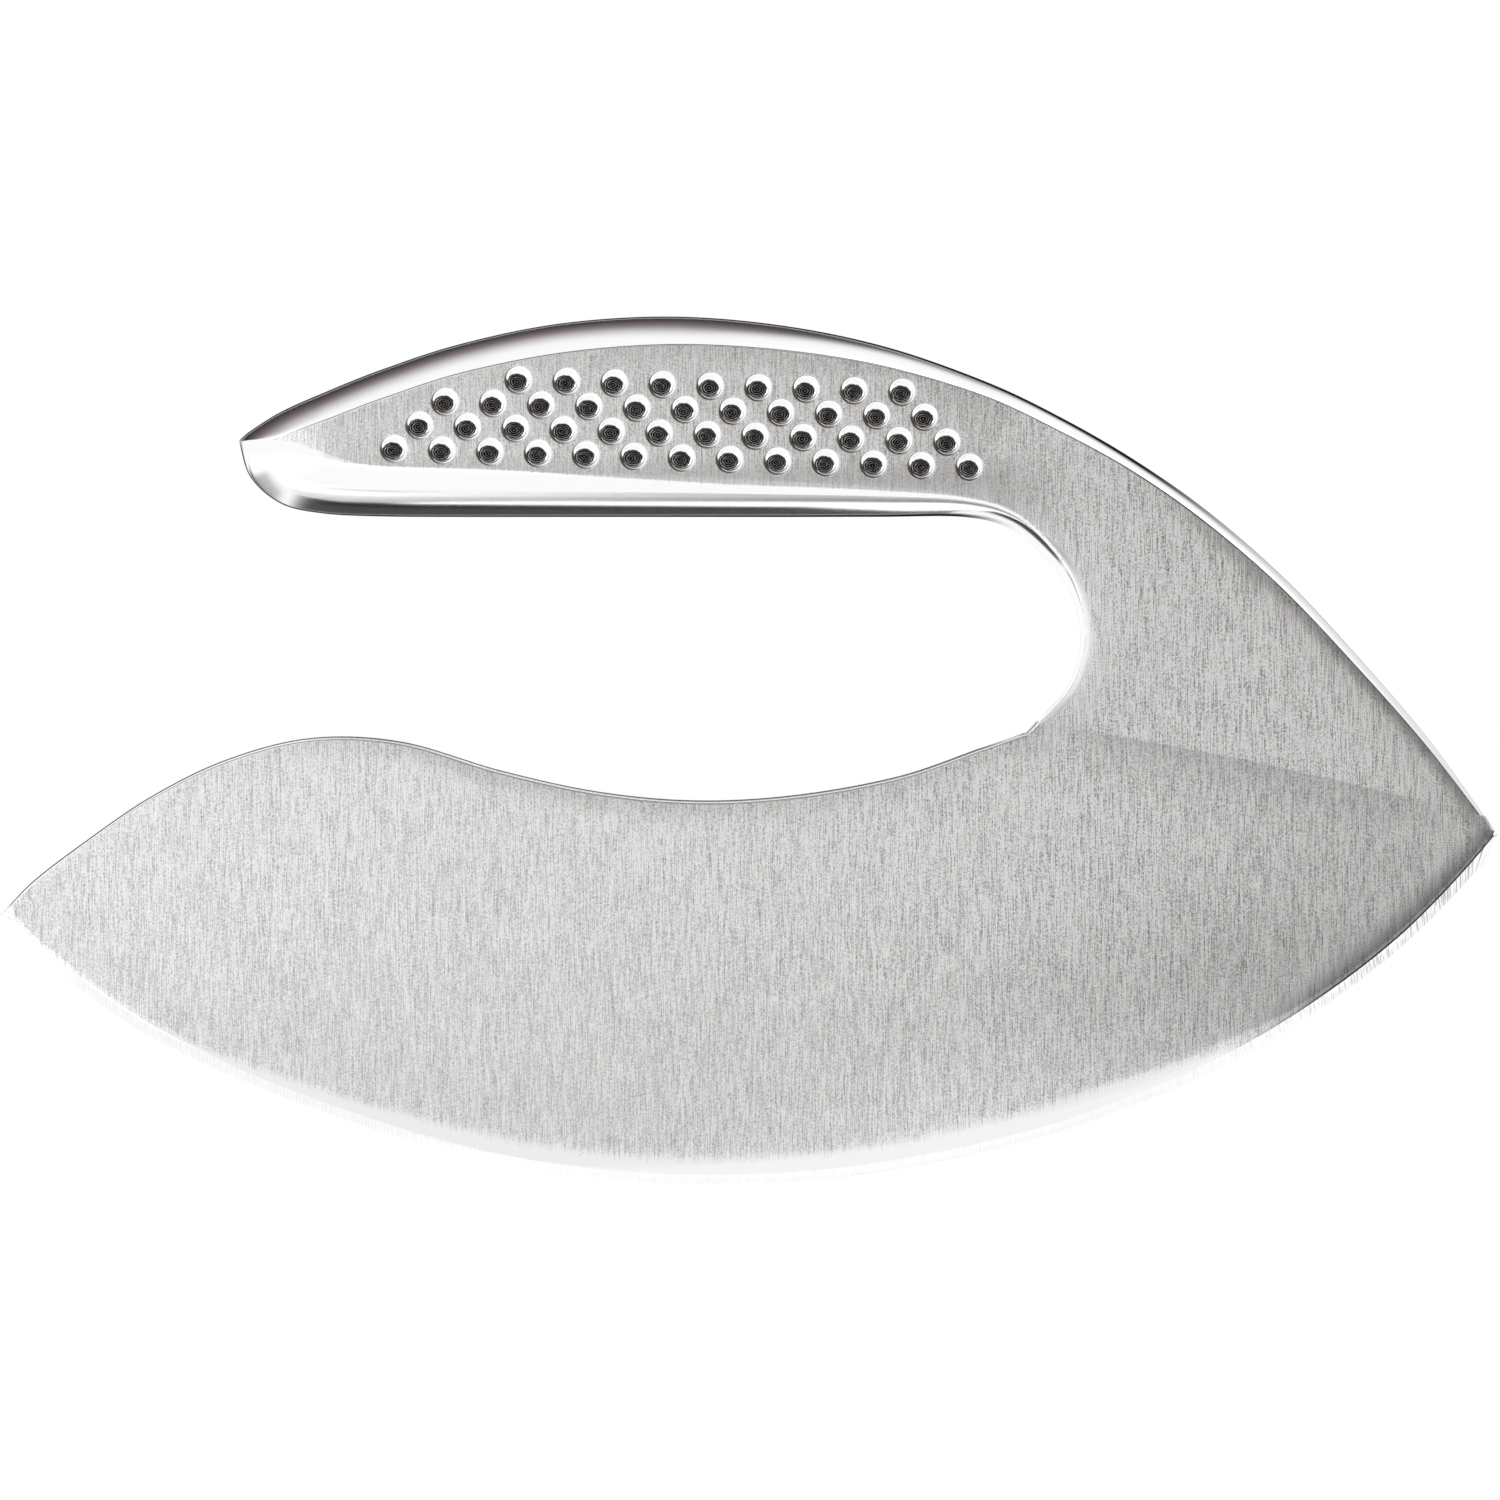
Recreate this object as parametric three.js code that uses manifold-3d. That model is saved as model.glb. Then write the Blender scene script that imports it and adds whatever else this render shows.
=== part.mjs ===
// Double mezzaluna: two parallel crescent blades under one hollow, dimpled steel handle.
// Sizes are millimetres. +X runs from the handle's nose to the heel corner, +Y away from the
// near side and +Z up. The outlines are drawn with the grip level, and the finished tool then
// leans until its weight stands over the stretch of cutting edge that it rests on.
import * as THREE from "three";
import Module from "manifold-3d";
import { mergeVertices } from "three/addons/utils/BufferGeometryUtils.js";

const wasm = await Module();
wasm.setup();

// Whole tool
const toolLength = 180;
const toolHeight = 104.4;
const toolWidth = 22;

// Blades
const bladeThickness = 2;
const bevelWidth = 1.1;
const bevelShoulder = 1.1;
const grindWidth = 4;
const backRounding = 0.5;

// Pressed handle shells
const wall = 1.2;
const crownRise = 3.6;
const gripRounding = 6.7;
const leastRounding = 0.15;

// Dimples of the grip
const dimpleRadius = 1.6;
const dimpleDepth = 0.7;
const dimplePitch = 5.77;
const dimpleRowShift = 2.7;
const dimpleRowRise = 3;
const dimpleMargin = 0.15;
const dimpleRowTilt = THREE.MathUtils.degToRad(1.8);
const dimplesPerRow = [13, 12, 11, 9];
const lastDimpleShares = [0.6476, 0.8257];

// Welds, arm floor and fill
const seamWidth = 1.5;
const weldWidth = 1.5;
const floorThickness = 1.5;
const fillHoleRadius = 3;
const plugDome = 0.5;
const fillHeadroom = 2;
const seatGap = 0.3;
const cutterOverrun = 1;

// Grams per cubic millimetre
const steelDensity = 0.00785;
const fillDensity = 0.0027;

// Facets, and steps between one row of a table and the next
const archFacets = 6;
const crownFacets = 5;
const dimpleFacets = 8;
const holeFacets = 24;
const stepsPerRow = 2;
const noseStepsPerRow = 4;
const fillStepsPerRow = 1;

// Cross-sections of the handle from its nose to the weld line. Each row holds the spine's place
// along and up, the grip's place along and up, then the half width, crown rise and lower rounding.
const handleShares = [
  [0.1590, 0.8566, 0.1590, 0.8566, 0.000, 0.00, 0.00],
  [0.1665, 0.8676, 0.1665, 0.8145, 0.500, 0.26, 0.65],
  [0.1870, 0.8897, 0.1870, 0.7838, 0.866, 0.71, 1.00],
  [0.2151, 0.9114, 0.2151, 0.7725, 1.000, 0.87, 1.00],
  [0.2538, 0.9381, 0.2538, 0.7690, 1.000, 0.93, 0.92],
  [0.3073, 0.9681, 0.3073, 0.7684, 1.000, 0.96, 0.88],
  [0.3741, 0.9917, 0.3741, 0.7684, 1.000, 1.00, 0.81],
  [0.4476, 0.9997, 0.4476, 0.7684, 1.000, 0.95, 0.74],
  [0.5210, 0.9897, 0.5210, 0.7683, 1.000, 0.83, 0.65],
  [0.5912, 0.9651, 0.5878, 0.7685, 1.000, 0.65, 0.54],
  [0.6580, 0.9252, 0.6446, 0.7683, 1.000, 0.46, 0.38],
  [0.7081, 0.8842, 0.6760, 0.7540, 1.000, 0.42, 0.30],
  [0.7582, 0.8344, 0.6994, 0.7195, 1.000, 0.35, 0.23],
  [0.8083, 0.7736, 0.7141, 0.6861, 1.000, 0.33, 0.14],
  [0.8597, 0.6960, 0.7214, 0.6469, 1.000, 0.30, 0.09],
  [0.9098, 0.6037, 0.7211, 0.6089, 1.000, 0.27, 0.08],
  [0.9552, 0.5121, 0.7121, 0.5685, 1.000, 0.22, 0.07],
  [0.9927, 0.4229, 0.6927, 0.5323, 1.000, 0.12, 0.07],
];
const handleEnd = handleShares.length - 1;
const noseEnd = 4;
const noseSolidEnd = 1.5;
const dimplePanelStart = 3;
const dimplePanelEnd = 10.5;
const fillStart = 7;

// Cutting edge from the blade's point to the heel corner: along, up and width of the convex grind.
const edgeShares = [
  [0.0000, 0.3082, 0.00],
  [0.0187, 0.2725, 0.10],
  [0.0534, 0.2241, 0.15],
  [0.1002, 0.1699, 0.20],
  [0.1570, 0.1227, 0.30],
  [0.2204, 0.0800, 0.50],
  [0.2872, 0.0432, 0.72],
  [0.3540, 0.0167, 0.80],
  [0.4208, 0.0029, 0.80],
  [0.4876, 0.0000, 0.80],
  [0.5544, 0.0063, 0.84],
  [0.6212, 0.0236, 0.90],
  [0.6847, 0.0490, 0.95],
  [0.7281, 0.0720, 1.00],
  [0.8016, 0.1227, 0.60],
  [0.8684, 0.1861, 0.20],
  [0.9352, 0.2713, 0.15],
  [0.9886, 0.3650, 0.10],
  [1.0000, 0.4015, 0.00],
];

// Blade back from the point over the hump and through the dip, up to the weld at the throat.
const backShares = [
  [0.0000, 0.3082],
  [0.0214, 0.3474],
  [0.0561, 0.3934],
  [0.1002, 0.4453],
  [0.1503, 0.4879],
  [0.2071, 0.5132],
  [0.2672, 0.5092],
  [0.3340, 0.4758],
  [0.4008, 0.4510],
  [0.4676, 0.4412],
  [0.5344, 0.4482],
  [0.6012, 0.4695],
  [0.6546, 0.5012],
];
const throatStation = backShares.length;
const cornerStation = edgeShares.length - 1;
const heelSpineRows = 1;
const heelStation = cornerStation - heelSpineRows;

// Shares of a blade column's height that the bevel, the grind and the rounded back may take.
const bevelLimitShare = 0.3;
const grindLimitShare = 0.6;
const backLimitShare = 0.15;
const leastFlatShare = 0.03;
const leastGrindShare = 0.3;
const innerCreaseShare = 0.4;
const bowlRingShare = 0.6;
const bowlRingDepthShare = 0.62;
const bumpShare = 0.9;
const domeShoulderShare = 0.6;

const halfWidth = toolWidth / 2;
const halfSeam = seamWidth / 2;
const innerHalfWidth = halfWidth - wall;
const bladeMiddle = halfWidth - bladeThickness / 2;

// Small plane geometry, with x along and y up
const place = (along, up) => new THREE.Vector2(along * toolLength, up * toolHeight);
const cross = (a, b) => a.x * b.y - a.y * b.x;
const direction = (from, to) => to.clone().sub(from).normalize();
const step = (start, way, distance) => start.clone().addScaledVector(way, distance);
const inSpace = (point, depth) => new THREE.Vector3(point.x, depth, point.y);

/** A smooth line through rows of points, read by row number. */
function lineThrough(points) {
  const curve = new THREE.SplineCurve(points);
  const last = points.length - 1;
  return {
    at: (row) => curve.getPoint(row / last),
    tangent: (row) => curve.getTangent(row / last),
  };
}

const spineLine = lineThrough(handleShares.map(([along, up]) => place(along, up)));
const gripLine = lineThrough(handleShares.map((row) => place(row[2], row[3])));
const widthLine = lineThrough(handleShares.map((row, index) => new THREE.Vector2(index, row[4])));
const swellLine = lineThrough(handleShares.map((row) => {
  return new THREE.Vector2(row[5] * crownRise, row[6] * gripRounding);
}));

/** Row numbers from start to end, with the given number of steps to a row. */
function stations(start, end, perRow) {
  const list = [];
  for (let k = 0; start + k / perRow < end; k += 1) {
    list.push(start + k / perRow);
  }
  list.push(end);
  return list;
}

/** One half section of the handle, from the underside round the face to the crown. */
function handleSection(row, inset, headroom) {
  const grip = gripLine.at(row);
  const spine = spineLine.at(row);
  const height = spine.distanceTo(grip);
  const up = direction(grip, spine);
  const gripSkew = 1 / Math.abs(cross(up, gripLine.tangent(row)));
  const spineSkew = 1 / Math.abs(cross(up, spineLine.tangent(row)));
  const swell = swellLine.at(row);
  const reach = THREE.MathUtils.clamp(widthLine.at(row).y, 0, 1) * (halfWidth - halfSeam) - inset;
  const bottom = inset * gripSkew;
  const top = height - (inset + headroom) * spineSkew;
  const creaseDrop = swell.x * spineSkew + inset * spineSkew * innerCreaseShare;
  const crease = Math.min(height - creaseDrop, top - leastRounding);
  const shoulder = Math.min(Math.max(swell.y, bottom + leastRounding), crease - leastFlatShare * height);
  const points = [];
  for (let k = 0; k <= archFacets; k += 1) {
    const turn = (Math.PI / 2) * (k / archFacets);
    const depth = halfSeam + reach * Math.sin(turn);
    const level = bottom + (shoulder - bottom) * (1 - Math.cos(turn));
    points.push(inSpace(step(grip, up, level), -depth));
  }
  for (let k = 0; k <= crownFacets; k += 1) {
    const out = 1 - k / crownFacets;
    const level = top - (top - crease) * out * out;
    points.push(inSpace(step(grip, up, level), -(halfSeam + reach * out)));
  }
  return points;
}

/** Collects faces and turns them into one closed geometry whose faces point out. */
class Skin {
  constructor() {
    this.corners = [];
  }

  triangle(a, b, c) {
    this.corners.push(a, b, c);
  }

  quad(a, b, c, d) {
    this.triangle(a, b, c);
    this.triangle(a, c, d);
  }

  /** A flat area at one depth, its front towards +Y. */
  flat(outline, depth) {
    for (const face of THREE.ShapeUtils.triangulateShape(outline, [])) {
      const [a, b, c] = face.map((index) => outline[index]);
      const isTurned = cross(b.clone().sub(a), c.clone().sub(a)) > 0;
      const corners = isTurned ? [a, c, b] : [a, b, c];
      this.triangle(...corners.map((point) => inSpace(point, depth)));
    }
  }

  geometry() {
    const shape = new THREE.BufferGeometry().setFromPoints(this.corners);
    return mergeVertices(shape);
  }
}

/** A closed geometry as a solid that can be cut. */
function solidOf(geometry) {
  const bare = geometry.clone();
  bare.deleteAttribute("normal");
  bare.deleteAttribute("uv");
  const merged = mergeVertices(bare);
  const mesh = new wasm.Mesh({
    numProp: 3,
    vertProperties: new Float32Array(merged.attributes.position.array),
    triVerts: new Uint32Array(merged.index.array),
  });
  return new wasm.Manifold(mesh);
}

/** A cut solid as a geometry. */
function geometryOf(solid) {
  const mesh = solid.getMesh();
  const geometry = new THREE.BufferGeometry();
  geometry.setAttribute("position", new THREE.BufferAttribute(mesh.vertProperties, 3));
  geometry.setIndex(new THREE.BufferAttribute(mesh.triVerts, 1));
  return geometry;
}

/** The same geometry on the other side of the tool's middle plane. */
function mirrored(geometry) {
  const copy = geometry.clone();
  copy.scale(1, -1, 1);
  const order = copy.index.array;
  for (let k = 0; k < order.length; k += 3) {
    [order[k], order[k + 1]] = [order[k + 1], order[k]];
  }
  return copy;
}

// Handle shells

const noseTip = inSpace(gripLine.at(0), -halfSeam);
const outerRows = [
  ...stations(0, noseEnd, noseStepsPerRow).slice(1),
  ...stations(noseEnd, handleEnd, stepsPerRow).slice(1),
];
const outerSections = outerRows.map((row) => handleSection(row, 0, 0));
const innerRows = outerRows.filter((row) => row >= noseSolidEnd);
const innerSections = innerRows.map((row) => handleSection(row, wall, 0));
const lastPoint = archFacets + crownFacets + 1;
const flatten = (point) => new THREE.Vector2(point.x, point.z);

/** The joint outline of the two shells in the plane of the seam, open at the weld line. */
function seamOutline() {
  const grip = outerSections.map((section) => section[0]);
  const innerGrip = innerSections.map((section) => section[0]).reverse();
  const innerCrown = innerSections.map((section) => section[lastPoint]);
  const crown = outerSections.map((section) => section[lastPoint]).reverse();
  return [noseTip, ...grip, ...innerGrip, ...innerCrown, ...crown].map(flatten);
}

/** The outline of the flat, dimpled stretch of a shell's face. */
function panelOutline(rows, sections) {
  const panel = sections.filter((_, index) => {
    return rows[index] >= dimplePanelStart && rows[index] <= dimplePanelEnd;
  });
  const lower = panel.map((section) => flatten(section[archFacets]));
  const upper = panel.map((section) => flatten(section[archFacets + 1])).reverse();
  return lower.concat(upper);
}

/** How far a point lies inside an outline; negative outside it. */
function depthInside(point, outline) {
  let nearest = Infinity;
  let inside = false;
  outline.forEach((start, index) => {
    const end = outline[(index + 1) % outline.length];
    const edge = end.clone().sub(start);
    const offset = point.clone().sub(start);
    const along = THREE.MathUtils.clamp(offset.dot(edge) / edge.lengthSq(), 0, 1);
    nearest = Math.min(nearest, point.distanceTo(step(start, edge, along)));
    const crossesLevel = start.y > point.y !== end.y > point.y;
    if (crossesLevel && offset.x < (edge.x * offset.y) / edge.y) {
      inside = !inside;
    }
  });
  return inside ? nearest : -nearest;
}

/** Centres of the dimples: slanting rows that step back from the throat, where the face has room. */
function dimpleCentres() {
  const outline = panelOutline(outerRows, outerSections);
  const innerOutline = panelOutline(innerRows, innerSections);
  const last = place(...lastDimpleShares);
  const back = new THREE.Vector2(-Math.cos(dimpleRowTilt), Math.sin(dimpleRowTilt));
  const centres = [];
  dimplesPerRow.forEach((count, row) => {
    const rowEnd = last.clone().add(new THREE.Vector2(-dimpleRowShift, dimpleRowRise).multiplyScalar(row));
    for (let k = 0; k < count; k += 1) {
      const centre = step(rowEnd, back, k * dimplePitch);
      const room = Math.min(depthInside(centre, outline), depthInside(centre, innerOutline));
      if (room > dimpleRadius + dimpleMargin) {
        centres.push(centre);
      }
    }
  });
  return centres;
}

/** A dimple as a solid: a faceted bowl that swells from a face, on a root behind the face. */
function dimple(centre, radius, faceDepth, rootDepth) {
  const profile = [
    new THREE.Vector2(0, rootDepth),
    new THREE.Vector2(radius, rootDepth),
    new THREE.Vector2(radius, faceDepth),
    new THREE.Vector2(radius * bowlRingShare, faceDepth + dimpleDepth * bowlRingDepthShare),
    new THREE.Vector2(0, faceDepth + dimpleDepth),
  ];
  const bowl = new THREE.LatheGeometry(profile, dimpleFacets);
  return solidOf(bowl.translate(centre.x, 0, centre.y));
}

/** The near shell before its dimples: two skins, joined at the seam, the nose and the weld line. */
function plainShell() {
  const skin = new Skin();
  for (let j = 0; j < lastPoint; j += 1) {
    skin.triangle(noseTip, outerSections[0][j], outerSections[0][j + 1]);
  }
  for (let i = 0; i < outerSections.length - 1; i += 1) {
    const [here, next] = [outerSections[i], outerSections[i + 1]];
    for (let j = 0; j < lastPoint; j += 1) {
      skin.quad(here[j], next[j], next[j + 1], here[j + 1]);
    }
  }
  for (let i = 0; i < innerSections.length - 1; i += 1) {
    const [here, next] = [innerSections[i], innerSections[i + 1]];
    for (let j = 0; j < lastPoint; j += 1) {
      skin.quad(here[j + 1], next[j + 1], next[j], here[j]);
    }
  }
  const front = innerSections[0];
  for (let j = 1; j < lastPoint; j += 1) {
    skin.triangle(front[j + 1], front[j], front[0]);
  }
  const outerEnd = outerSections.at(-1);
  const innerEnd = innerSections.at(-1);
  for (let j = 0; j < lastPoint; j += 1) {
    skin.quad(outerEnd[j + 1], outerEnd[j], innerEnd[j], innerEnd[j + 1]);
  }
  skin.flat(seamOutline(), -halfSeam);
  return solidOf(skin.geometry());
}

/** The near shell: each dimple is a bowl in its outer face and a bump on its inner face. */
function shellGeometry() {
  const centres = dimpleCentres();
  const wallMiddle = -(halfWidth + innerHalfWidth) / 2;
  const bowls = centres.map((centre) => {
    return dimple(centre, dimpleRadius, -halfWidth, -halfWidth - cutterOverrun);
  });
  const bumps = centres.map((centre) => {
    return dimple(centre, dimpleRadius * bumpShare, -innerHalfWidth, wallMiddle);
  });
  const { union } = wasm.Manifold;
  return geometryOf(plainShell().add(union(bumps)).subtract(union(bowls)));
}

/** A plate drawn side-on and extruded across the tool between two depths. */
function plate(outline, nearDepth, farDepth) {
  const depth = farDepth - nearDepth;
  const shape = new THREE.ExtrudeGeometry(new THREE.Shape(outline), { depth, bevelEnabled: false });
  shape.rotateX(Math.PI / 2);
  shape.translate(0, farDepth, 0);
  return shape;
}

// Weld line between the shells and the blades

const throatEnd = gripLine.at(handleEnd);
const spineEnd = spineLine.at(handleEnd);
const heelCorner = place(edgeShares.at(-1)[0], edgeShares.at(-1)[1]);
const weldWay = direction(throatEnd, spineEnd);
const armWay = new THREE.Vector2(-weldWay.y, weldWay.x);
const throatWay = gripLine.tangent(handleEnd);
const heelWay = direction(spineEnd, heelCorner);
const bladeThroat = step(throatEnd, throatWay, weldWidth / Math.abs(cross(weldWay, throatWay)));
const bladeHeel = step(spineEnd, heelWay, weldWidth / Math.abs(cross(weldWay, heelWay)));

// Blades

const edgeLine = lineThrough(edgeShares.map(([along, up]) => place(along, up)));
const grindLine = lineThrough(edgeShares.map((row, index) => new THREE.Vector2(index, row[2])));
const backLine = lineThrough([...backShares.map(([along, up]) => place(along, up)), bladeThroat]);
const bladeRows = [
  ...stations(0, throatStation, stepsPerRow),
  ...stations(throatStation, heelStation, stepsPerRow).slice(1),
  ...stations(heelStation, cornerStation, stepsPerRow).slice(1),
];

/** The blade's upper outline: its back, then the weld line, then the heel's short spine. */
function bladeTop(row) {
  if (row < throatStation) {
    return backLine.at(row);
  }
  if (row <= heelStation) {
    const share = (row - throatStation) / (heelStation - throatStation);
    return bladeThroat.clone().lerp(bladeHeel, share);
  }
  return bladeHeel.clone().lerp(heelCorner, (row - heelStation) / heelSpineRows);
}

/** Half the plate's thickness at a distance in from the cutting edge. */
function halfThickness(distance, grind) {
  if (distance < bevelWidth) {
    return (bevelShoulder / 2) * (distance / bevelWidth);
  }
  const share = Math.min((distance - bevelWidth) / grind, 1);
  return THREE.MathUtils.lerp(bevelShoulder / 2, bladeThickness / 2, share);
}

/** One column of the near blade: pairs of a place and a half thickness, from edge to back. */
function bladeColumn(row) {
  const edge = edgeLine.at(row);
  const top = bladeTop(row);
  const height = top.distanceTo(edge);
  const up = direction(edge, top);
  const skew = 1 / Math.abs(cross(up, edgeLine.tangent(row)));
  const grind = grindWidth * Math.max(grindLine.at(row).y, leastGrindShare);
  const welded = row >= throatStation && row <= heelStation;
  const rounding = welded ? 0 : Math.min(backRounding, backLimitShare * height);
  const levels = [
    Math.min(bevelWidth * skew, bevelLimitShare * height),
    Math.min((bevelWidth + grind) * skew, grindLimitShare * height),
    height - rounding,
    height - rounding * (1 - Math.SQRT1_2),
    height,
  ];
  const fullness = [1, 1, 1, Math.SQRT1_2, 0];
  return levels.map((level, k) => {
    const distance = Math.min(level, height - rounding) / skew;
    return { point: step(edge, up, level), half: halfThickness(distance, grind) * fullness[k] };
  });
}

/** The near blade, pointed at both ends, with its edge in the middle of the plate. */
function bladeGeometry() {
  const skin = new Skin();
  const edgePoints = bladeRows.map((row) => inSpace(edgeLine.at(row), -bladeMiddle));
  const columns = bladeRows.map((row) => bladeColumn(row));
  const side = (way) => columns.map((column) => {
    return column.map(({ point, half }) => inSpace(point, -bladeMiddle + way * half));
  });
  const addSide = (grid, turned) => {
    const add = (corners) => skin.quad(...(turned ? corners.reverse() : corners));
    const addEnd = (corners) => skin.triangle(...(turned ? corners.reverse() : corners));
    const lines = grid.map((column, i) => [edgePoints[i], ...column]);
    for (let i = 1; i < lines.length - 2; i += 1) {
      const [here, next] = [lines[i], lines[i + 1]];
      for (let j = 0; j < here.length - 1; j += 1) {
        add([here[j], next[j], next[j + 1], here[j + 1]]);
      }
    }
    const [first, last] = [lines[1], lines.at(-2)];
    for (let j = 0; j < first.length - 1; j += 1) {
      addEnd([edgePoints[0], first[j], first[j + 1]]);
      addEnd([last[j], edgePoints.at(-1), last[j + 1]]);
    }
  };
  addSide(side(-1), false);
  addSide(side(1), true);
  return skin.geometry();
}

// Arm floor, its filling hole and plug, and the fill

const floorInset = wall + seatGap;
const heelSlope = spineLine.tangent(handleEnd);

/** The floor's outline between the inner walls of the arm, its lower side on the weld line. */
function floorOutline() {
  const throatSkew = 1 / Math.abs(cross(weldWay, throatWay));
  const heelSkew = 1 / Math.abs(cross(weldWay, heelSlope));
  const lowThroat = step(throatEnd, weldWay, floorInset * throatSkew);
  const lowHeel = step(spineEnd, weldWay, -floorInset * heelSkew);
  const highHeel = step(lowHeel, heelSlope, -floorThickness * heelSkew);
  const highThroat = step(lowThroat, throatWay, -floorThickness * throatSkew);
  return [lowThroat, lowHeel, highHeel, highThroat];
}

/** Stands a shape whose axis is +Y up from the weld line at the floor's middle. */
function onFloor(shape) {
  const [lowThroat, lowHeel] = floorOutline();
  const middle = lowThroat.clone().lerp(lowHeel, 1 / 2);
  const along = inSpace(weldWay, 0);
  const up = inSpace(armWay, 0);
  const across = along.clone().cross(up);
  const turn = new THREE.Matrix4().makeBasis(along, up, across).setPosition(inSpace(middle, 0));
  return shape.applyMatrix4(turn);
}

function floorGeometry() {
  const length = floorThickness + 2 * cutterOverrun;
  const cutter = new THREE.CylinderGeometry(fillHoleRadius, fillHoleRadius, length, holeFacets);
  cutter.translate(0, floorThickness / 2, 0);
  const body = plate(floorOutline(), -innerHalfWidth, innerHalfWidth);
  return geometryOf(solidOf(body).subtract(solidOf(onFloor(cutter))));
}

function plugGeometry() {
  const radius = fillHoleRadius - seatGap;
  const profile = [
    new THREE.Vector2(0, -plugDome),
    new THREE.Vector2(radius * domeShoulderShare, -plugDome * domeShoulderShare),
    new THREE.Vector2(radius, 0),
    new THREE.Vector2(radius, floorThickness),
    new THREE.Vector2(0, floorThickness),
  ];
  return onFloor(new THREE.LatheGeometry(profile, holeFacets));
}

/** The settled fill: the hollow's own section, drawn in from the walls and the dimples' backs. */
function fillGeometry() {
  const skin = new Skin();
  const inset = wall + dimpleDepth + seatGap;
  const throatStep = Math.abs(cross(weldWay, gripLine.at(handleEnd - 1).sub(throatEnd)));
  const end = handleEnd - (floorThickness + seatGap) / throatStep;
  const rings = stations(fillStart, end, fillStepsPerRow).map((row) => {
    const near = handleSection(row, inset, fillHeadroom);
    const far = near.map((point) => new THREE.Vector3(point.x, -point.y, point.z));
    return [...near, ...far.reverse()];
  });
  const count = rings[0].length;
  for (let i = 0; i < rings.length - 1; i += 1) {
    for (let j = 0; j < count; j += 1) {
      const next = (j + 1) % count;
      skin.quad(rings[i][j], rings[i + 1][j], rings[i + 1][next], rings[i][next]);
    }
  }
  const [first, last] = [rings[0], rings.at(-1)];
  for (let j = 1; j < count - 1; j += 1) {
    skin.triangle(first[0], first[j], first[j + 1]);
    skin.triangle(last[0], last[j + 1], last[j]);
  }
  return skin.geometry();
}

// Materials

const satin = { color: 0xc6c6c3, roughness: 0.38, metalness: 1 };
const weldSteel = { color: 0xb4b3b0, roughness: 0.45, metalness: 1 };
const dullSteel = { color: 0x9c9c9a, roughness: 0.55, metalness: 1 };
const quartz = { color: 0xbfae8c, roughness: 0.9, metalness: 0 };

function piece(name, geometry, finish, density) {
  const shape = geometry.clone();
  shape.computeVertexNormals();
  const mesh = new THREE.Mesh(shape, new THREE.MeshStandardMaterial(finish));
  mesh.name = name;
  mesh.userData.density = density;
  return mesh;
}

// Assembly

const bladeNear = bladeGeometry();
const shellNear = shellGeometry();
const weldOutline = [bladeThroat, bladeHeel, spineEnd, throatEnd];
const weldNear = plate(weldOutline, -halfWidth, bladeThickness - halfWidth);
const weldFar = plate(weldOutline, halfWidth - bladeThickness, halfWidth);
const seam = plate(seamOutline(), -halfSeam, halfSeam);

const tool = new THREE.Group();
tool.add(
  piece("blade_front", bladeNear, satin, steelDensity),
  piece("blade_back", mirrored(bladeNear), satin, steelDensity),
  piece("handle_shell_front", shellNear, satin, steelDensity),
  piece("handle_shell_back", mirrored(shellNear), satin, steelDensity),
  piece("handle_seam_weld", seam, weldSteel, steelDensity),
  piece("blade_weld_front", weldNear, weldSteel, steelDensity),
  piece("blade_weld_back", weldFar, weldSteel, steelDensity),
  piece("arm_floor", floorGeometry(), dullSteel, steelDensity),
  piece("fill_plug", plugGeometry(), dullSteel, steelDensity),
  piece("balance_sand", fillGeometry(), quartz, fillDensity),
);

/** The place of the whole tool's centre of mass, from each piece's tetrahedra about the origin. */
function centreOfMass(group) {
  let mass = 0;
  const moment = new THREE.Vector3();
  for (const mesh of group.children) {
    const flat = mesh.geometry.index ? mesh.geometry.toNonIndexed() : mesh.geometry;
    const places = flat.attributes.position;
    const [a, b, c] = [new THREE.Vector3(), new THREE.Vector3(), new THREE.Vector3()];
    for (let k = 0; k < places.count; k += 3) {
      a.fromBufferAttribute(places, k);
      b.fromBufferAttribute(places, k + 1);
      c.fromBufferAttribute(places, k + 2);
      const share = (mesh.userData.density * a.dot(b.clone().cross(c))) / 6;
      mass += share;
      moment.addScaledVector(a.clone().add(b).add(c), share / 4);
    }
  }
  return moment.divideScalar(mass);
}

/** The lean that lays flat the facet of cutting edge that the centre of mass stands over. */
function restingLean(centre) {
  const edge = bladeRows.map((row) => edgeLine.at(row));
  const weight = new THREE.Vector2(centre.x, centre.z);
  const facet = edge.findIndex((start, k) => {
    const end = edge[k + 1];
    const way = end && direction(start, end);
    const along = end && weight.clone().sub(start).dot(way);
    return end && along >= 0 && along <= start.distanceTo(end);
  });
  const way = direction(edge[facet], edge[facet + 1]);
  return Math.atan2(way.y, way.x);
}

tool.rotation.y = restingLean(centreOfMass(tool));
tool.updateMatrixWorld(true);
const bounds = new THREE.Box3().setFromObject(tool, true);
const middle = bounds.getCenter(new THREE.Vector3());
tool.position.set(-middle.x, -middle.y, -bounds.min.z);

const mezzaluna = new THREE.Group();
mezzaluna.add(tool);

export default mezzaluna;
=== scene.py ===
"""The looks of a double mezzaluna: two ground crescent blades under one hollow, dimpled handle.

Sizes are millimetres of the drawing unless a name says otherwise. In the drawing the grip is
level: x runs from the nose to the heel corner, y away from the near side and z up. The finished
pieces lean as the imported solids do.
"""

import logging
import math
from dataclasses import dataclass, field
from enum import Enum

import bmesh
import bpy
import numpy as np
from mathutils import Matrix, Vector
from mathutils.geometry import delaunay_2d_cdt


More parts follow.
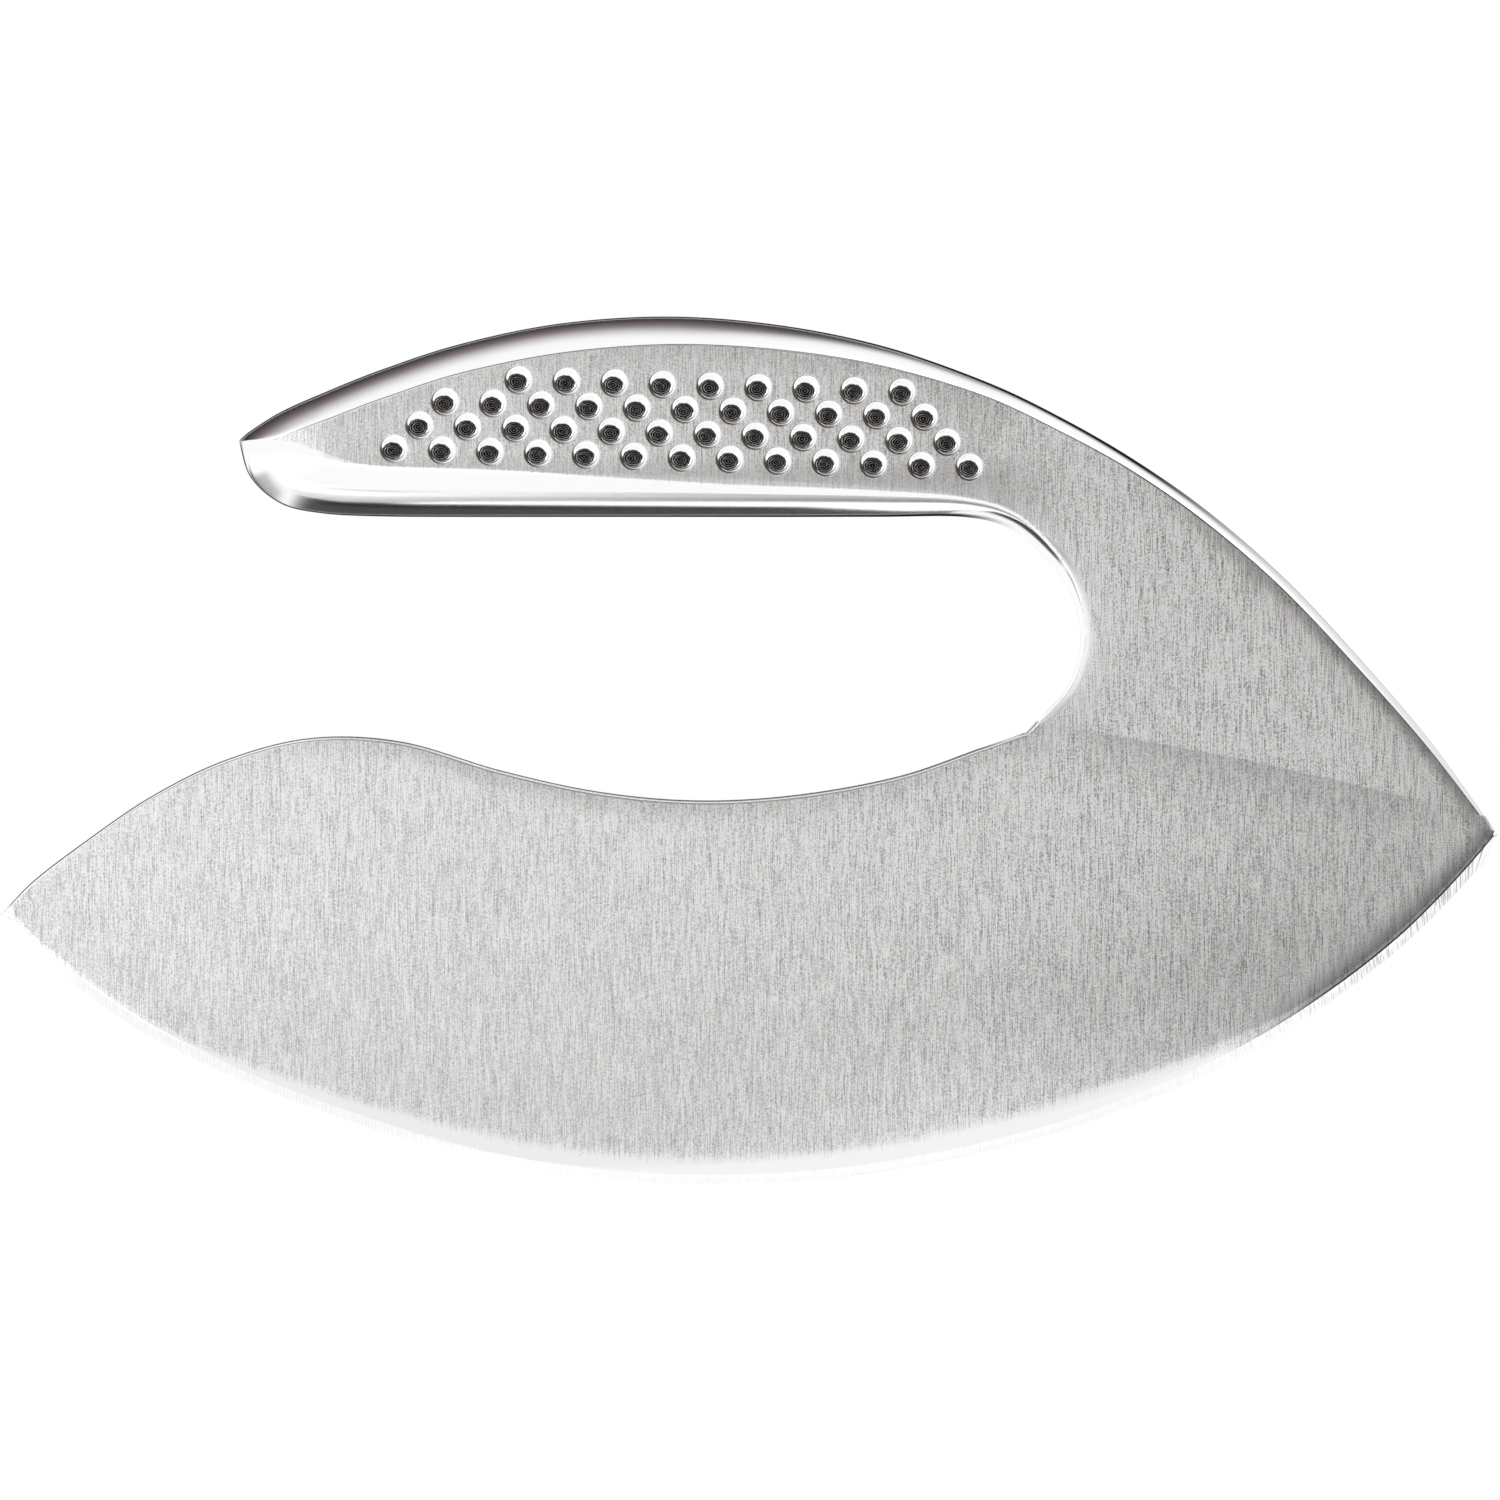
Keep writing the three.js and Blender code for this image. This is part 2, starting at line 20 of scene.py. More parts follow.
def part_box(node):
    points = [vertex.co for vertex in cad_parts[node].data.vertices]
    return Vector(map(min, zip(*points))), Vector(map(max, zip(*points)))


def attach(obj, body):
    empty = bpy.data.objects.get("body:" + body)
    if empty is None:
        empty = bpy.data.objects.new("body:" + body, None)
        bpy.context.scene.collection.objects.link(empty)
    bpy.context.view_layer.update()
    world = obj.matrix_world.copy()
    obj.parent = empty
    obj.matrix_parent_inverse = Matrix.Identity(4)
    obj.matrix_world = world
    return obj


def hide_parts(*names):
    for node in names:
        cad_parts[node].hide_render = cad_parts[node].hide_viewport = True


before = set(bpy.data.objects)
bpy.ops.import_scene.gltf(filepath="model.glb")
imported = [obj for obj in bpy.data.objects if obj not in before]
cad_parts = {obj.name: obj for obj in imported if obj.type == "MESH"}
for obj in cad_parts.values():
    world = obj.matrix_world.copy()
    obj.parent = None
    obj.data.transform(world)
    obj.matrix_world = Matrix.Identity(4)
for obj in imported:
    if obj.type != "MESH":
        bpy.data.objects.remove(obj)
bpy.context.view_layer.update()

Array = np.ndarray
Pair = tuple[float, float]
Triple = tuple[float, float, float]
Material = bpy.types.Material
Socket = bpy.types.NodeSocket
LOG = logging.getLogger("mezzaluna")
MM = 0.001

TOOL_LENGTH = 180.0
TOOL_HEIGHT = 104.4
TOOL_WIDTH = 22.0
WALL = 1.2
SEAM_WIDTH = 1.5
WELD_WIDTH = 1.5
BLADE_THICKNESS = 2.0
LEAN = math.radians(9.759465)
MERGE_DISTANCE = 0.0002 * MM
SHARP_ANGLE = math.radians(28)
SHADE_POWER = 1.5
EDGE_SAMPLES = 2000
TINY = 1e-6
NODE_COLUMNS = 9
NODE_SPACING = (220, -260)

# Sections of the handle from its nose to the weld line: the spine's place along and up, the
# grip's place along and up, then the half width, the crown's rise and the lower rounding.
HANDLE_SHARES = np.array([
    [0.1590, 0.8566, 0.1590, 0.8566, 0.000, 0.00, 0.00],
    [0.1665, 0.8676, 0.1665, 0.8145, 0.500, 0.26, 0.65],
    [0.1870, 0.8897, 0.1870, 0.7838, 0.866, 0.71, 1.00],
    [0.2151, 0.9114, 0.2151, 0.7725, 1.000, 0.87, 1.00],
    [0.2538, 0.9381, 0.2538, 0.7690, 1.000, 0.93, 0.92],
    [0.3073, 0.9681, 0.3073, 0.7684, 1.000, 0.96, 0.88],
    [0.3741, 0.9917, 0.3741, 0.7684, 1.000, 1.00, 0.81],
    [0.4476, 0.9997, 0.4476, 0.7684, 1.000, 0.95, 0.74],
    [0.5210, 0.9897, 0.5210, 0.7683, 1.000, 0.83, 0.65],
    [0.5912, 0.9651, 0.5878, 0.7685, 1.000, 0.65, 0.54],
    [0.6580, 0.9252, 0.6446, 0.7683, 1.000, 0.46, 0.38],
    [0.7081, 0.8842, 0.6760, 0.7540, 1.000, 0.42, 0.30],
    [0.7582, 0.8344, 0.6994, 0.7195, 1.000, 0.35, 0.23],
    [0.8083, 0.7736, 0.7141, 0.6861, 1.000, 0.33, 0.14],
    [0.8597, 0.6960, 0.7214, 0.6469, 1.000, 0.30, 0.09],
    [0.9098, 0.6037, 0.7211, 0.6089, 1.000, 0.27, 0.08],
    [0.9552, 0.5121, 0.7121, 0.5685, 1.000, 0.22, 0.07],
    [0.9927, 0.4229, 0.6927, 0.5323, 1.000, 0.12, 0.07],
])
HANDLE_END = len(HANDLE_SHARES) - 1

# Cutting edge from the point to the heel corner: along, up and the width of the convex grind.
EDGE_SHARES = np.array([
    [0.0000, 0.3082, 0.00],
    [0.0187, 0.2725, 0.10],
    [0.0534, 0.2241, 0.15],
    [0.1002, 0.1699, 0.20],
    [0.1570, 0.1227, 0.30],
    [0.2204, 0.0800, 0.50],
    [0.2872, 0.0432, 0.72],
    [0.3540, 0.0167, 0.80],
    [0.4208, 0.0029, 0.80],
    [0.4876, 0.0000, 0.80],
    [0.5544, 0.0063, 0.84],
    [0.6212, 0.0236, 0.90],
    [0.6847, 0.0490, 0.95],
    [0.7281, 0.0720, 1.00],
    [0.8016, 0.1227, 0.60],
    [0.8684, 0.1861, 0.20],
    [0.9352, 0.2713, 0.15],
    [0.9886, 0.3650, 0.10],
    [1.0000, 0.4015, 0.00],
])

# Blade back from the point over the hump and through the dip, as far as the weld.
BACK_SHARES = np.array([
    [0.0000, 0.3082],
    [0.0214, 0.3474],
    [0.0561, 0.3934],
    [0.1002, 0.4453],
    [0.1503, 0.4879],
    [0.2071, 0.5132],
    [0.2672, 0.5092],
    [0.3340, 0.4758],
    [0.4008, 0.4510],
    [0.4676, 0.4412],
    [0.5344, 0.4482],
    [0.6012, 0.4695],
    [0.6546, 0.5012],
])
THROAT_ROW = len(BACK_SHARES)
CORNER_ROW = len(EDGE_SHARES) - 1
HEEL_ROW = CORNER_ROW - 1


class Side(Enum):
    """The half of the tool that a piece belongs to, as the sign of its depth."""

    NEAR = 1
    FAR = -1


class Finish(Enum):
    """The material slots of the record."""

    BLADE = "blade_steel"
    HANDLE = "handle_steel"
    WELD = "weld_steel"
    DULL = "dull_steel"
    SAND = "fill_sand"


def real_size(shares: Array) -> Array:
    """Turns the first two columns, shares of the tool's length and height, into millimetres."""
    return shares[:, :2] * (TOOL_LENGTH, TOOL_HEIGHT)


def read_rows(table: Array, rows: Array) -> Array:
    """Reads a table between its rows along a smooth curve through them.

    With a, b, c and d the rows round a place and t the share of the way from b to c, the value is
    b + (c - a) t / 2 + (2a - 5b + 4c - d) t^2 / 2 + (3b - a - 3c + d) t^3 / 2.

    Args:
        table: the values, one row of them for each whole row number.
        rows: the row numbers to read, whole or not.

    Returns:
        One row of values for each row number.
    """
    last = len(table) - 1
    whole = np.clip(np.floor(rows).astype(int), 0, last - 1)
    t = (rows - whole)[:, None]
    a, b = table[np.maximum(whole - 1, 0)], table[whole]
    c, d = table[whole + 1], table[np.minimum(whole + 2, last)]
    square = (2 * a - 5 * b + 4 * c - d) * t**2
    cube = (3 * b - a - 3 * c + d) * t**3
    return b + ((c - a) * t + square + cube) / 2


def unit(vectors: Array) -> Array:
    """Vectors of length one in the same directions."""
    return vectors / np.linalg.norm(vectors, axis=-1, keepdims=True)


def tangents(table: Array, rows: Array, reach: float = 0.001) -> Array:
    """Directions of the curve through a table, from two places a short reach apart.

    Args:
        table: the values, one row of them for each whole row number.
        rows: the row numbers where the directions are wanted.
        reach: how far on either side the curve is read, in rows.

    Returns:
        One vector of length one for each row number.
    """
    last = len(table) - 1
    ahead = read_rows(table, np.minimum(rows + reach, last))
    behind = read_rows(table, np.maximum(rows - reach, 0))
    return unit(ahead - behind)


def cross(a: Array, b: Array) -> Array:
    """The cross product of plane vectors, a.x b.z - a.z b.x."""
    return a[..., 0] * b[..., 1] - a[..., 1] * b[..., 0]


def smooth_step(low: float, high: float, values: Array) -> Array:
    """Rises from 0 at low to 1 at high as 3t^2 - 2t^3, where t is the share of the way."""
    t = np.clip((values - low) / (high - low), 0, 1)
    return t * t * (3 - 2 * t)


def grid_faces(rows: int, columns: int) -> Array:
    """Quads between neighbouring rows and columns of a grid of points.

    Args:
        rows: how many rows the grid has.
        columns: how many points a row has.

    Returns:
        Four point numbers for each quad.
    """
    corner = np.arange(rows * columns).reshape(rows, columns)
    corners = [corner[:-1, :-1], corner[1:, :-1], corner[1:, 1:], corner[:-1, 1:]]
    return np.stack(corners, axis=-1).reshape(-1, 4)


HANDLE_SPINE = real_size(HANDLE_SHARES)
HANDLE_GRIP = real_size(HANDLE_SHARES[:, 2:4])
BLADE_EDGE = real_size(EDGE_SHARES)
HALF_WIDTH = TOOL_WIDTH / 2
HALF_SEAM = SEAM_WIDTH / 2
THROAT_END = HANDLE_GRIP[-1]
SPINE_END = HANDLE_SPINE[-1]
HEEL_CORNER = BLADE_EDGE[-1]
WELD_WAY = unit(SPINE_END - THROAT_END)
THROAT_WAY = tangents(HANDLE_GRIP, np.array([float(HANDLE_END)]))[0]
HEEL_WAY = unit(HEEL_CORNER - SPINE_END)
BLADE_THROAT = THROAT_END + THROAT_WAY * WELD_WIDTH / abs(cross(WELD_WAY, THROAT_WAY))
BLADE_HEEL = SPINE_END + HEEL_WAY * WELD_WIDTH / abs(cross(WELD_WAY, HEEL_WAY))
BLADE_BACK = np.vstack([real_size(BACK_SHARES), BLADE_THROAT])

# The soft weld line on the arm sags: its height is a + b x + c x^2 through these places.
WELD_LINE_SHARES = np.array([
    [0.7081, 0.5271], [0.7829, 0.5052], [0.8597, 0.4776], [0.9232, 0.4534], [0.9659, 0.4349]])
WELD_LINE = [float(value) for value in np.polyfit(*real_size(WELD_LINE_SHARES).T, 2)[::-1]]


@dataclass(frozen=True)
class Drawing:
    """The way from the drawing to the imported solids: a lean about the depth, then a shift."""

    lean: float
    shift: Pair

    @classmethod
    def from_blade(cls, lean: float) -> "Drawing":
        """Finds the shift that puts the blade's point where the solid has it, its edge on z = 0.

        Args:
            lean: the angle between the drawing and the resting tool, in radians.

        Returns:
            The drawing with its shift in metres.
        """
        flat = cls(lean, (0.0, 0.0))
        edge = read_rows(BLADE_EDGE, np.linspace(0, CORNER_ROW, EDGE_SAMPLES))
        points = flat.place(np.column_stack([edge[:, 0], np.zeros(len(edge)), edge[:, 1]]))
        low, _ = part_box("blade_front")
        return cls(lean, (low.x - points[0, 0], -points[:, 2].min()))

    def place(self, points: Array) -> Array:
        """Leans and shifts points: x' = x cos a + z sin a and z' = z cos a - x sin a.

        Args:
            points: places in the drawing, in millimetres.

        Returns:
            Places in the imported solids' frame, in metres.
        """
        cos, sin = math.cos(self.lean), math.sin(self.lean)
        x = (points[:, 0] * cos + points[:, 2] * sin) * MM + self.shift[0]
        z = (points[:, 2] * cos - points[:, 0] * sin) * MM + self.shift[1]
        return np.column_stack([x, points[:, 1] * MM, z])


DRAWING = Drawing.from_blade(LEAN)


@dataclass
class Draft:
    """Collects the points, faces and marks of a piece while it is being shaped.

    Each point carries a place on its own surface, or on the handle's shell the strength of its painted dark
    outline, written to the UV map "surface", and a pair of marks from 0 to 1, its polish and its painted
    shade, written to the UV map "finish".
    """

    points: list[Array] = field(default_factory=list)
    faces: list[list[int]] = field(default_factory=list)
    places: list[Array] = field(default_factory=list)
    marks: list[Array] = field(default_factory=list)
    slots: list[int] = field(default_factory=list)
    count: int = 0

    def add(self, points: Array, faces: Array | list, places: Array | None = None,
            marks: Array | None = None, slot: int = 0) -> None:
        """Adds a stretch of surface.

        Args:
            points: its points, in millimetres of the drawing.
            faces: point numbers of each face.
            places: a pair of surface coordinates for each point, or none.
            marks: a pair of finish marks for each point, or none.
            slot: the number of the material slot.
        """
        flat = points.reshape(-1, 3)
        blank = np.zeros((len(flat), 2))
        numbered = [[int(number) + self.count for number in face] for face in faces]
        self.points.append(flat)
        self.faces.extend(numbered)
        self.places.append(blank if places is None else places.reshape(-1, 2))
        self.marks.append(blank if marks is None else marks.reshape(-1, 2))
        self.slots.extend([slot] * len(numbered))
        self.count += len(flat)

    def grid(self, points: Array, turned: bool = False, **details: object) -> None:
        """Adds a grid of points as quads, turned over or not, with the same details as add."""
        faces = grid_faces(*points.shape[:2])
        self.add(points, faces[:, ::-1] if turned else faces, **details)

    def finish(self, name: str, side: Side, materials: list[Material]) -> bpy.types.Object:
        """Makes the piece: one closed, smooth mesh whose object sits at the origin.

        Args:
            name: the object's name.
            side: the half of the tool that the piece stands on.
            materials: the materials of its slots, in order.

        Returns:
            The new object.
        """
        mesh = bpy.data.meshes.new(name)
        points = np.vstack(self.points) * (1, side.value, 1)
        mesh.from_pydata(DRAWING.place(points).tolist(), [], self.faces)
        corners = np.empty(len(mesh.loops), dtype=np.int32)
        mesh.loops.foreach_get("vertex_index", corners)
        for title, values in (("surface", self.places), ("finish", self.marks)):
            layer = mesh.uv_layers.new(name=title)
            layer.data.foreach_set("uv", np.vstack(values)[corners].astype(np.float32).ravel())
        mesh.polygons.foreach_set("material_index", np.array(self.slots, dtype=np.int32))
        for material in materials:
            mesh.materials.append(material)
        shape = bmesh.new()
        shape.from_mesh(mesh)
        bmesh.ops.remove_doubles(shape, verts=shape.verts, dist=MERGE_DISTANCE)
        bmesh.ops.dissolve_degenerate(shape, edges=shape.edges, dist=MERGE_DISTANCE / 2)
        bmesh.ops.recalc_face_normals(shape, faces=shape.faces)
        open_edges = sum(not edge.is_manifold for edge in shape.edges)
        shape.to_mesh(mesh)
        shape.free()
        mesh.shade_smooth()
        mesh.set_sharp_from_angle(angle=SHARP_ANGLE)
        piece = bpy.data.objects.new(name, mesh)
        bpy.context.scene.collection.objects.link(piece)
        LOG.info("%s: %d faces, %d open edges", name, len(mesh.polygons), open_edges)
        return piece


class ToolPiece:
    """What the tool's pieces share: each shapes a draft of its near half, which becomes a mesh."""

    def shape(self, draft: Draft) -> None:
        """Adds the piece's surfaces to the draft."""
        raise NotImplementedError

    def build(self, name: str, node: str, side: Side, finish: Finish, materials: list[Material]) -> None:
        """Builds the piece, lets it stand for its solid and ride with the tool.

        Args:
            name: the new object's name.
            node: the solid that it replaces.
            side: the half of the tool.
            finish: the record's material slot of the piece; not used.
            materials: the materials of its own slots, in order.
        """
        draft = Draft()
        self.shape(draft)
        piece = draft.finish(name, side, materials)
        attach(piece, "root")
        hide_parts(node)


@dataclass(frozen=True)
class PolishedRoll:
    """How polishing rolls the flat faces off towards an outline that it runs over.

    The outline is a table read from its first row to its last one.
    """

    table: Array
    rows: Pair
    samples: int
    depth: float
    reach: float
    start: float
    full: float
    offset: float

    def drop(self, points: Array) -> Array:
        """The depth taken off at points: depth e^(-d / reach), d being the distance to the outline.

        Args:
            points: places along and up, in rows.

        Returns:
            The depth in millimetres. It fades in along x from start to full.
        """
        outline = read_rows(self.table, np.linspace(*self.rows, self.samples))
        gaps = np.linalg.norm(points[:, None, :] - outline[None, :, :], axis=-1)
        distance = np.maximum(gaps.min(axis=1) - self.offset, 0)
        fade = smooth_step(self.start, self.full, points[:, 0])
        return self.depth * np.exp(-distance / self.reach) * fade


CROWN_ROLL = PolishedRoll(HANDLE_SPINE, (11, HANDLE_END), samples=300, depth=0.24, reach=2.2,
                          start=132, full=166, offset=1.0)
EDGE_ROLL = PolishedRoll(BLADE_EDGE, (11, CORNER_ROW), samples=300, depth=0.16, reach=2.2,
                         start=136, full=160, offset=1.1)
THROAT_ROLL = PolishedRoll(HANDLE_GRIP, (10, HANDLE_END), samples=240, depth=0.3, reach=1.8,
                           start=114, full=126, offset=0.1)


def rolled(points: Array) -> Array:
    """Moves points of a near surface inwards by the rolls that polishing gives the flat face.

    Args:
        points: places in the drawing. The move shrinks with their depth, to none at the seam.

    Returns:
        The moved points, in the same shape.
    """
    flat = points.reshape(-1, 3)
    share = np.clip((-flat[:, 1] - HALF_SEAM) / (HALF_WIDTH - HALF_SEAM), 0, 1)
    rolls = (CROWN_ROLL, EDGE_ROLL, THROAT_ROLL)
    drop = sum(roll.drop(flat[:, [0, 2]]) for roll in rolls) * share
    moved = flat + np.column_stack([np.zeros(len(flat)), drop, np.zeros(len(flat))])
    return moved.reshape(points.shape)


@dataclass
class HandleShell(ToolPiece):
    """One pressed half of the hollow handle, with its dimples.

    Along the handle, places are numbers of the sections' rows. The spans are those of its finish and its
    painted shade: polished over the arch, the nose and the throat's rim, with painted shade along the arm's
    crease.
    """

    crown_rise: float = 3.6
    grip_rounding: float = 6.7
    least_rounding: float = 0.15
    crease_rounding: float = 0.22
    least_flat_share: float = 0.03
    inner_crease_share: float = 0.4
    least_reach: float = 0.01
    most_corner_share: float = 0.3
    nose_solid_end: float = 1.5
    nose_end: float = 3.0
    panel_start: float = 3.8
    panel_end: float = 10.5
    end_bow: float = 0.04
    shade_width: float = 3.4
    shaded_rows: Pair = (11.0, 15.5)
    lined_rows: Pair = (10.5, 13.0)
    polish_rows: tuple[float, ...] = (5.5, 7.5, 9.0, 10.5)
    polish_limits: tuple[float, ...] = (0.985, 0.887, 0.905, 0.945)
    polish_blur: float = 0.06
    nose_polish_start: float = 2.8
    nose_reach: float = 2.6
    nose_power: float = 1.2
    nose_blur: float = 0.16
    nose_fade: float = 0.1
    glow_rows: Pair = (10.5, 12.5)
    throat_glow: float = 1.0
    arch_outline_end: Pair = (9.8, 11.3)
    crown_outline_end: Pair = (12.0, 14.5)
    crown_outline_loss: float = 0.65
    nose_rows: int = 52
    nose_skipped: int = 3
    front_rows: int = 13
    panel_rows: int = 95
    arm_rows: int = 91
    arch_steps: int = 18
    face_steps: int = 26
    crease_steps: int = 4
    crown_steps: int = 14

    def rows(self) -> Array:
        """Row numbers of the sections, close together at the nose: end (1 - cos a) there.

        Returns:
            The row numbers in order, from the nose to the weld line.
        """
        turn = np.linspace(0, math.pi / 2, self.nose_rows + self.nose_skipped + 1)
        nose = self.nose_end * (1 - np.cos(turn[self.nose_skipped:]))
        front = np.linspace(self.nose_end, self.panel_start, self.front_rows + 1)[1:]
        panel = np.linspace(self.panel_start, self.panel_end, self.panel_rows + 1)[1:]
        arm = np.linspace(self.panel_end, HANDLE_END, self.arm_rows + 1)[1:]
        return np.concatenate([nose, front, panel, arm])

    def section(self, rows: Array, inset: float) -> tuple[Array, Array, Array]:
        """Half sections of the handle at a distance inside its surface.

        From the underside each section rises as a quarter ellipse, depth r sin a and level
        s (1 - cos a), runs up the flat face, turns a small rounded crease and closes over the
        crown as a parabola whose level falls by the crown's rise times the square of the depth.
        The two sections that end the dimpled panel bow out a little along x, as 4 s (1 - s).

        Args:
            rows: row numbers of the sections.
            inset: the distance inside the outer surface.

        Returns:
            Points of the lower rounding, the face and the crown, one row of points for each
            section. The face ends where the crease begins, and the crown starts with the crease.
        """
        grip, spine = read_rows(HANDLE_GRIP, rows), read_rows(HANDLE_SPINE, rows)
        height = np.linalg.norm(spine - grip, axis=1)
        up = (spine - grip) / height[:, None]
        grip_skew = 1 / np.abs(cross(up, tangents(HANDLE_GRIP, rows)))
        spine_skew = 1 / np.abs(cross(up, tangents(HANDLE_SPINE, rows)))
        width, rise, rounding = read_rows(HANDLE_SHARES[:, 4:], rows).T
        reach = np.clip(width, 0, 1) * (HALF_WIDTH - HALF_SEAM) - inset
        bottom = inset * grip_skew
        top = height - inset * spine_skew
        fall = (rise * self.crown_rise + inset * self.inner_crease_share) * spine_skew
        crease = np.minimum(height - fall, top - self.least_rounding)
        lowest = np.maximum(rounding * self.grip_rounding, bottom + self.least_rounding)
        shoulder = np.minimum(lowest, crease - self.least_flat_share * height)

        def points(level: Array, depth: Array) -> Array:
            """Points at levels above the grip line and depths from the middle plane.

            Args:
                level: levels above the grip line, one row of them for each section.
                depth: depths from the middle plane.

            Returns:
                The points of each section.
            """
            x = grip[:, :1] + up[:, :1] * level
            z = grip[:, 1:] + up[:, 1:] * level
            return np.stack([x, -np.broadcast_to(depth, level.shape), z], axis=-1)

        turn = np.linspace(0, math.pi / 2, self.arch_steps + 1)[None, :]
        bow = self.end_bow * ((rows == self.panel_end) * 1.0 - (rows == self.panel_start))
        arch_level = bottom[:, None] + (shoulder - bottom)[:, None] * (1 - np.cos(turn))
        arch = points(arch_level, HALF_SEAM + reach[:, None] * np.sin(turn))
        small = np.minimum(self.crease_rounding, (crease - shoulder) / 3)
        side_depth = (HALF_SEAM + reach)[:, None]
        share = (1 - np.cos(np.linspace(0, math.pi, self.face_steps + 1)))[None, :] / 2
        face_level = shoulder[:, None] + (crease - small - shoulder)[:, None] * share
        face = points(face_level, side_depth)
        face[..., 0] += bow[:, None] * 4 * share * (1 - share)
        out_start = 1 - np.minimum(small / np.maximum(reach, self.least_reach), self.most_corner_share)
        out = out_start[:, None] * (1 - np.linspace(0, 1, self.crown_steps + 1))[None, :]
        crown_level = top[:, None] - (top - crease)[:, None] * out**2
        crown = points(crown_level, HALF_SEAM + reach[:, None] * out)
        corner = points(crease[:, None], side_depth)
        t = np.linspace(0, 1, self.crease_steps + 1)[None, :, None]
        bend = (1 - t) ** 2 * face[:, -1:] + 2 * t * (1 - t) * corner + t**2 * crown[:, :1]
        return arch, face, np.concatenate([bend[:, :-1], crown], axis=1)

    def marks(self, rows: Array, points: Array, part: str) -> Array:
        """Marks over one part of the sections: how polished it is and how much painted shade it takes.

        Args:
            rows: row numbers of the sections.
            points: the part's points.
            part: "arch", "face" or "crown". The polish of the nose reaches up its face, the polish of the
                throat fades into it, and painted shade darkens the arm's crease.

        Returns:
            One pair of marks for each point of each section.
        """
        share = np.broadcast_to(np.linspace(0, 1, points.shape[1]), points.shape[:2])
        polish, shade = np.ones_like(share), np.zeros_like(share)
        arm = smooth_step(*self.shaded_rows, rows)[:, None]
        line = smooth_step(*self.lined_rows, rows)[:, None]
        start = np.linalg.norm(points - points[:, :1], axis=-1)
        if part == "arch":
            limit = np.interp(rows, self.polish_rows, self.polish_limits)[:, None]
            polish = 1 - smooth_step(limit - self.polish_blur, limit + self.polish_blur, share)
            nose = 1 - smooth_step(self.nose_polish_start, self.panel_start, rows)
            polish = np.maximum(polish, nose[:, None])
        if part == "face":
            reach = np.clip((self.panel_start - rows) / self.nose_reach, 0, 1)[:, None] ** self.nose_power
            polish = 1 - smooth_step(-self.nose_blur, self.nose_blur, share - reach)
            polish = polish * smooth_step(0, self.nose_fade, reach)
            glow = smooth_step(*self.glow_rows, rows)[:, None] * np.exp(-start / self.throat_glow)
            polish = np.maximum(polish, glow)
            # Painted shade: a dark gradient on the face next to the arm's crease, with a thin dark line at
            # it.
            gap = np.linalg.norm(points - points[:, -1:], axis=-1)
            shade = arm * (1 - smooth_step(0, self.shade_width, gap)) ** SHADE_POWER
            shade = np.maximum(shade, line * (1 - smooth_step(0, self.crease_rounding, gap)))
        if part == "crown":
            # Painted shade: the thin dark line at the crease.
            shade = line * (1 - smooth_step(self.crease_rounding / 2, self.crease_rounding * 1.5, start))
        return np.stack([polish, shade], axis=-1)

    def outlines(self, rows: Array, part: str) -> Array:
        """How strong the painted dark outline of a part is in each section.

        Args:
            rows: row numbers of the sections.
            part: "arch", "face" or "crown".

        Returns:
            One strength from 0 to 1 for each section.
        """
        if part == "crown":
            return 1 - self.crown_outline_loss * smooth_step(*self.crown_outline_end, rows)
        return (1 - smooth_step(*self.arch_outline_end, rows)) if part == "arch" else rows * 0

    def shape(self, draft: Draft) -> None:
        """Adds the outer skin with its dimples, the inner skin and the rims between them.

        Args:
            draft: the piece being shaped.
        """
        rows = self.rows()
        outer = tuple(rolled(part) for part in self.section(rows, 0))
        inner = self.section(np.maximum(rows, self.nose_solid_end), WALL)
        self.add_outer_skin(draft, rows, outer)
        self.add_inner_skin(draft, inner)
        self.add_rims(draft, np.concatenate(outer, axis=1), np.concatenate(inner, axis=1))
        self.add_panel(draft, rows, outer[1])

    def add_outer_skin(self, draft: Draft, rows: Array, parts: tuple[Array, Array, Array]) -> None:
        """Adds the outer surface, all but the flat panel that holds the dimples.

        Args:
            draft: the piece being shaped.
            rows: row numbers of the sections.
            parts: the points of their lower rounding, face and crown.
        """
        for title, part in zip(("arch", "face", "crown"), parts):
            marks = self.marks(rows, part, title)
            faces = grid_faces(*part.shape[:2]).reshape(len(rows) - 1, -1, 4)
            if title == "face":
                outside = (rows[1:] <= self.panel_start) | (rows[:-1] >= self.panel_end)
                faces = faces[outside]
            # The UV map "surface" carries the strength of the painted dark outline on the shell.
            places = np.zeros_like(marks) + self.outlines(rows, title)[:, None, None]
            draft.add(part, faces.reshape(-1, 4), places=places, marks=marks)
        tip = np.array([[HANDLE_GRIP[0, 0], -HALF_SEAM, HANDLE_GRIP[0, 1]]])
        ring = np.concatenate([part[0] for part in parts])
        fan = [[0, k, k + 1] for k in range(1, len(ring))]
        # The fan's marks give full polish and full painted shade.
        draft.add(np.vstack([tip, ring]), fan, marks=np.ones((len(ring) + 1, 2)))

    def add_inner_skin(self, draft: Draft, parts: tuple[Array, Array, Array]) -> None:
        """Adds the hollow's surface and the flat end that closes it at the nose.

        Args:
            draft: the piece being shaped.
            parts: the inner points of the lower rounding, face and crown.
        """
        skin = np.concatenate(parts, axis=1)
        draft.grid(skin, turned=True)
        draft.add(skin[0], [list(range(skin.shape[1]))])

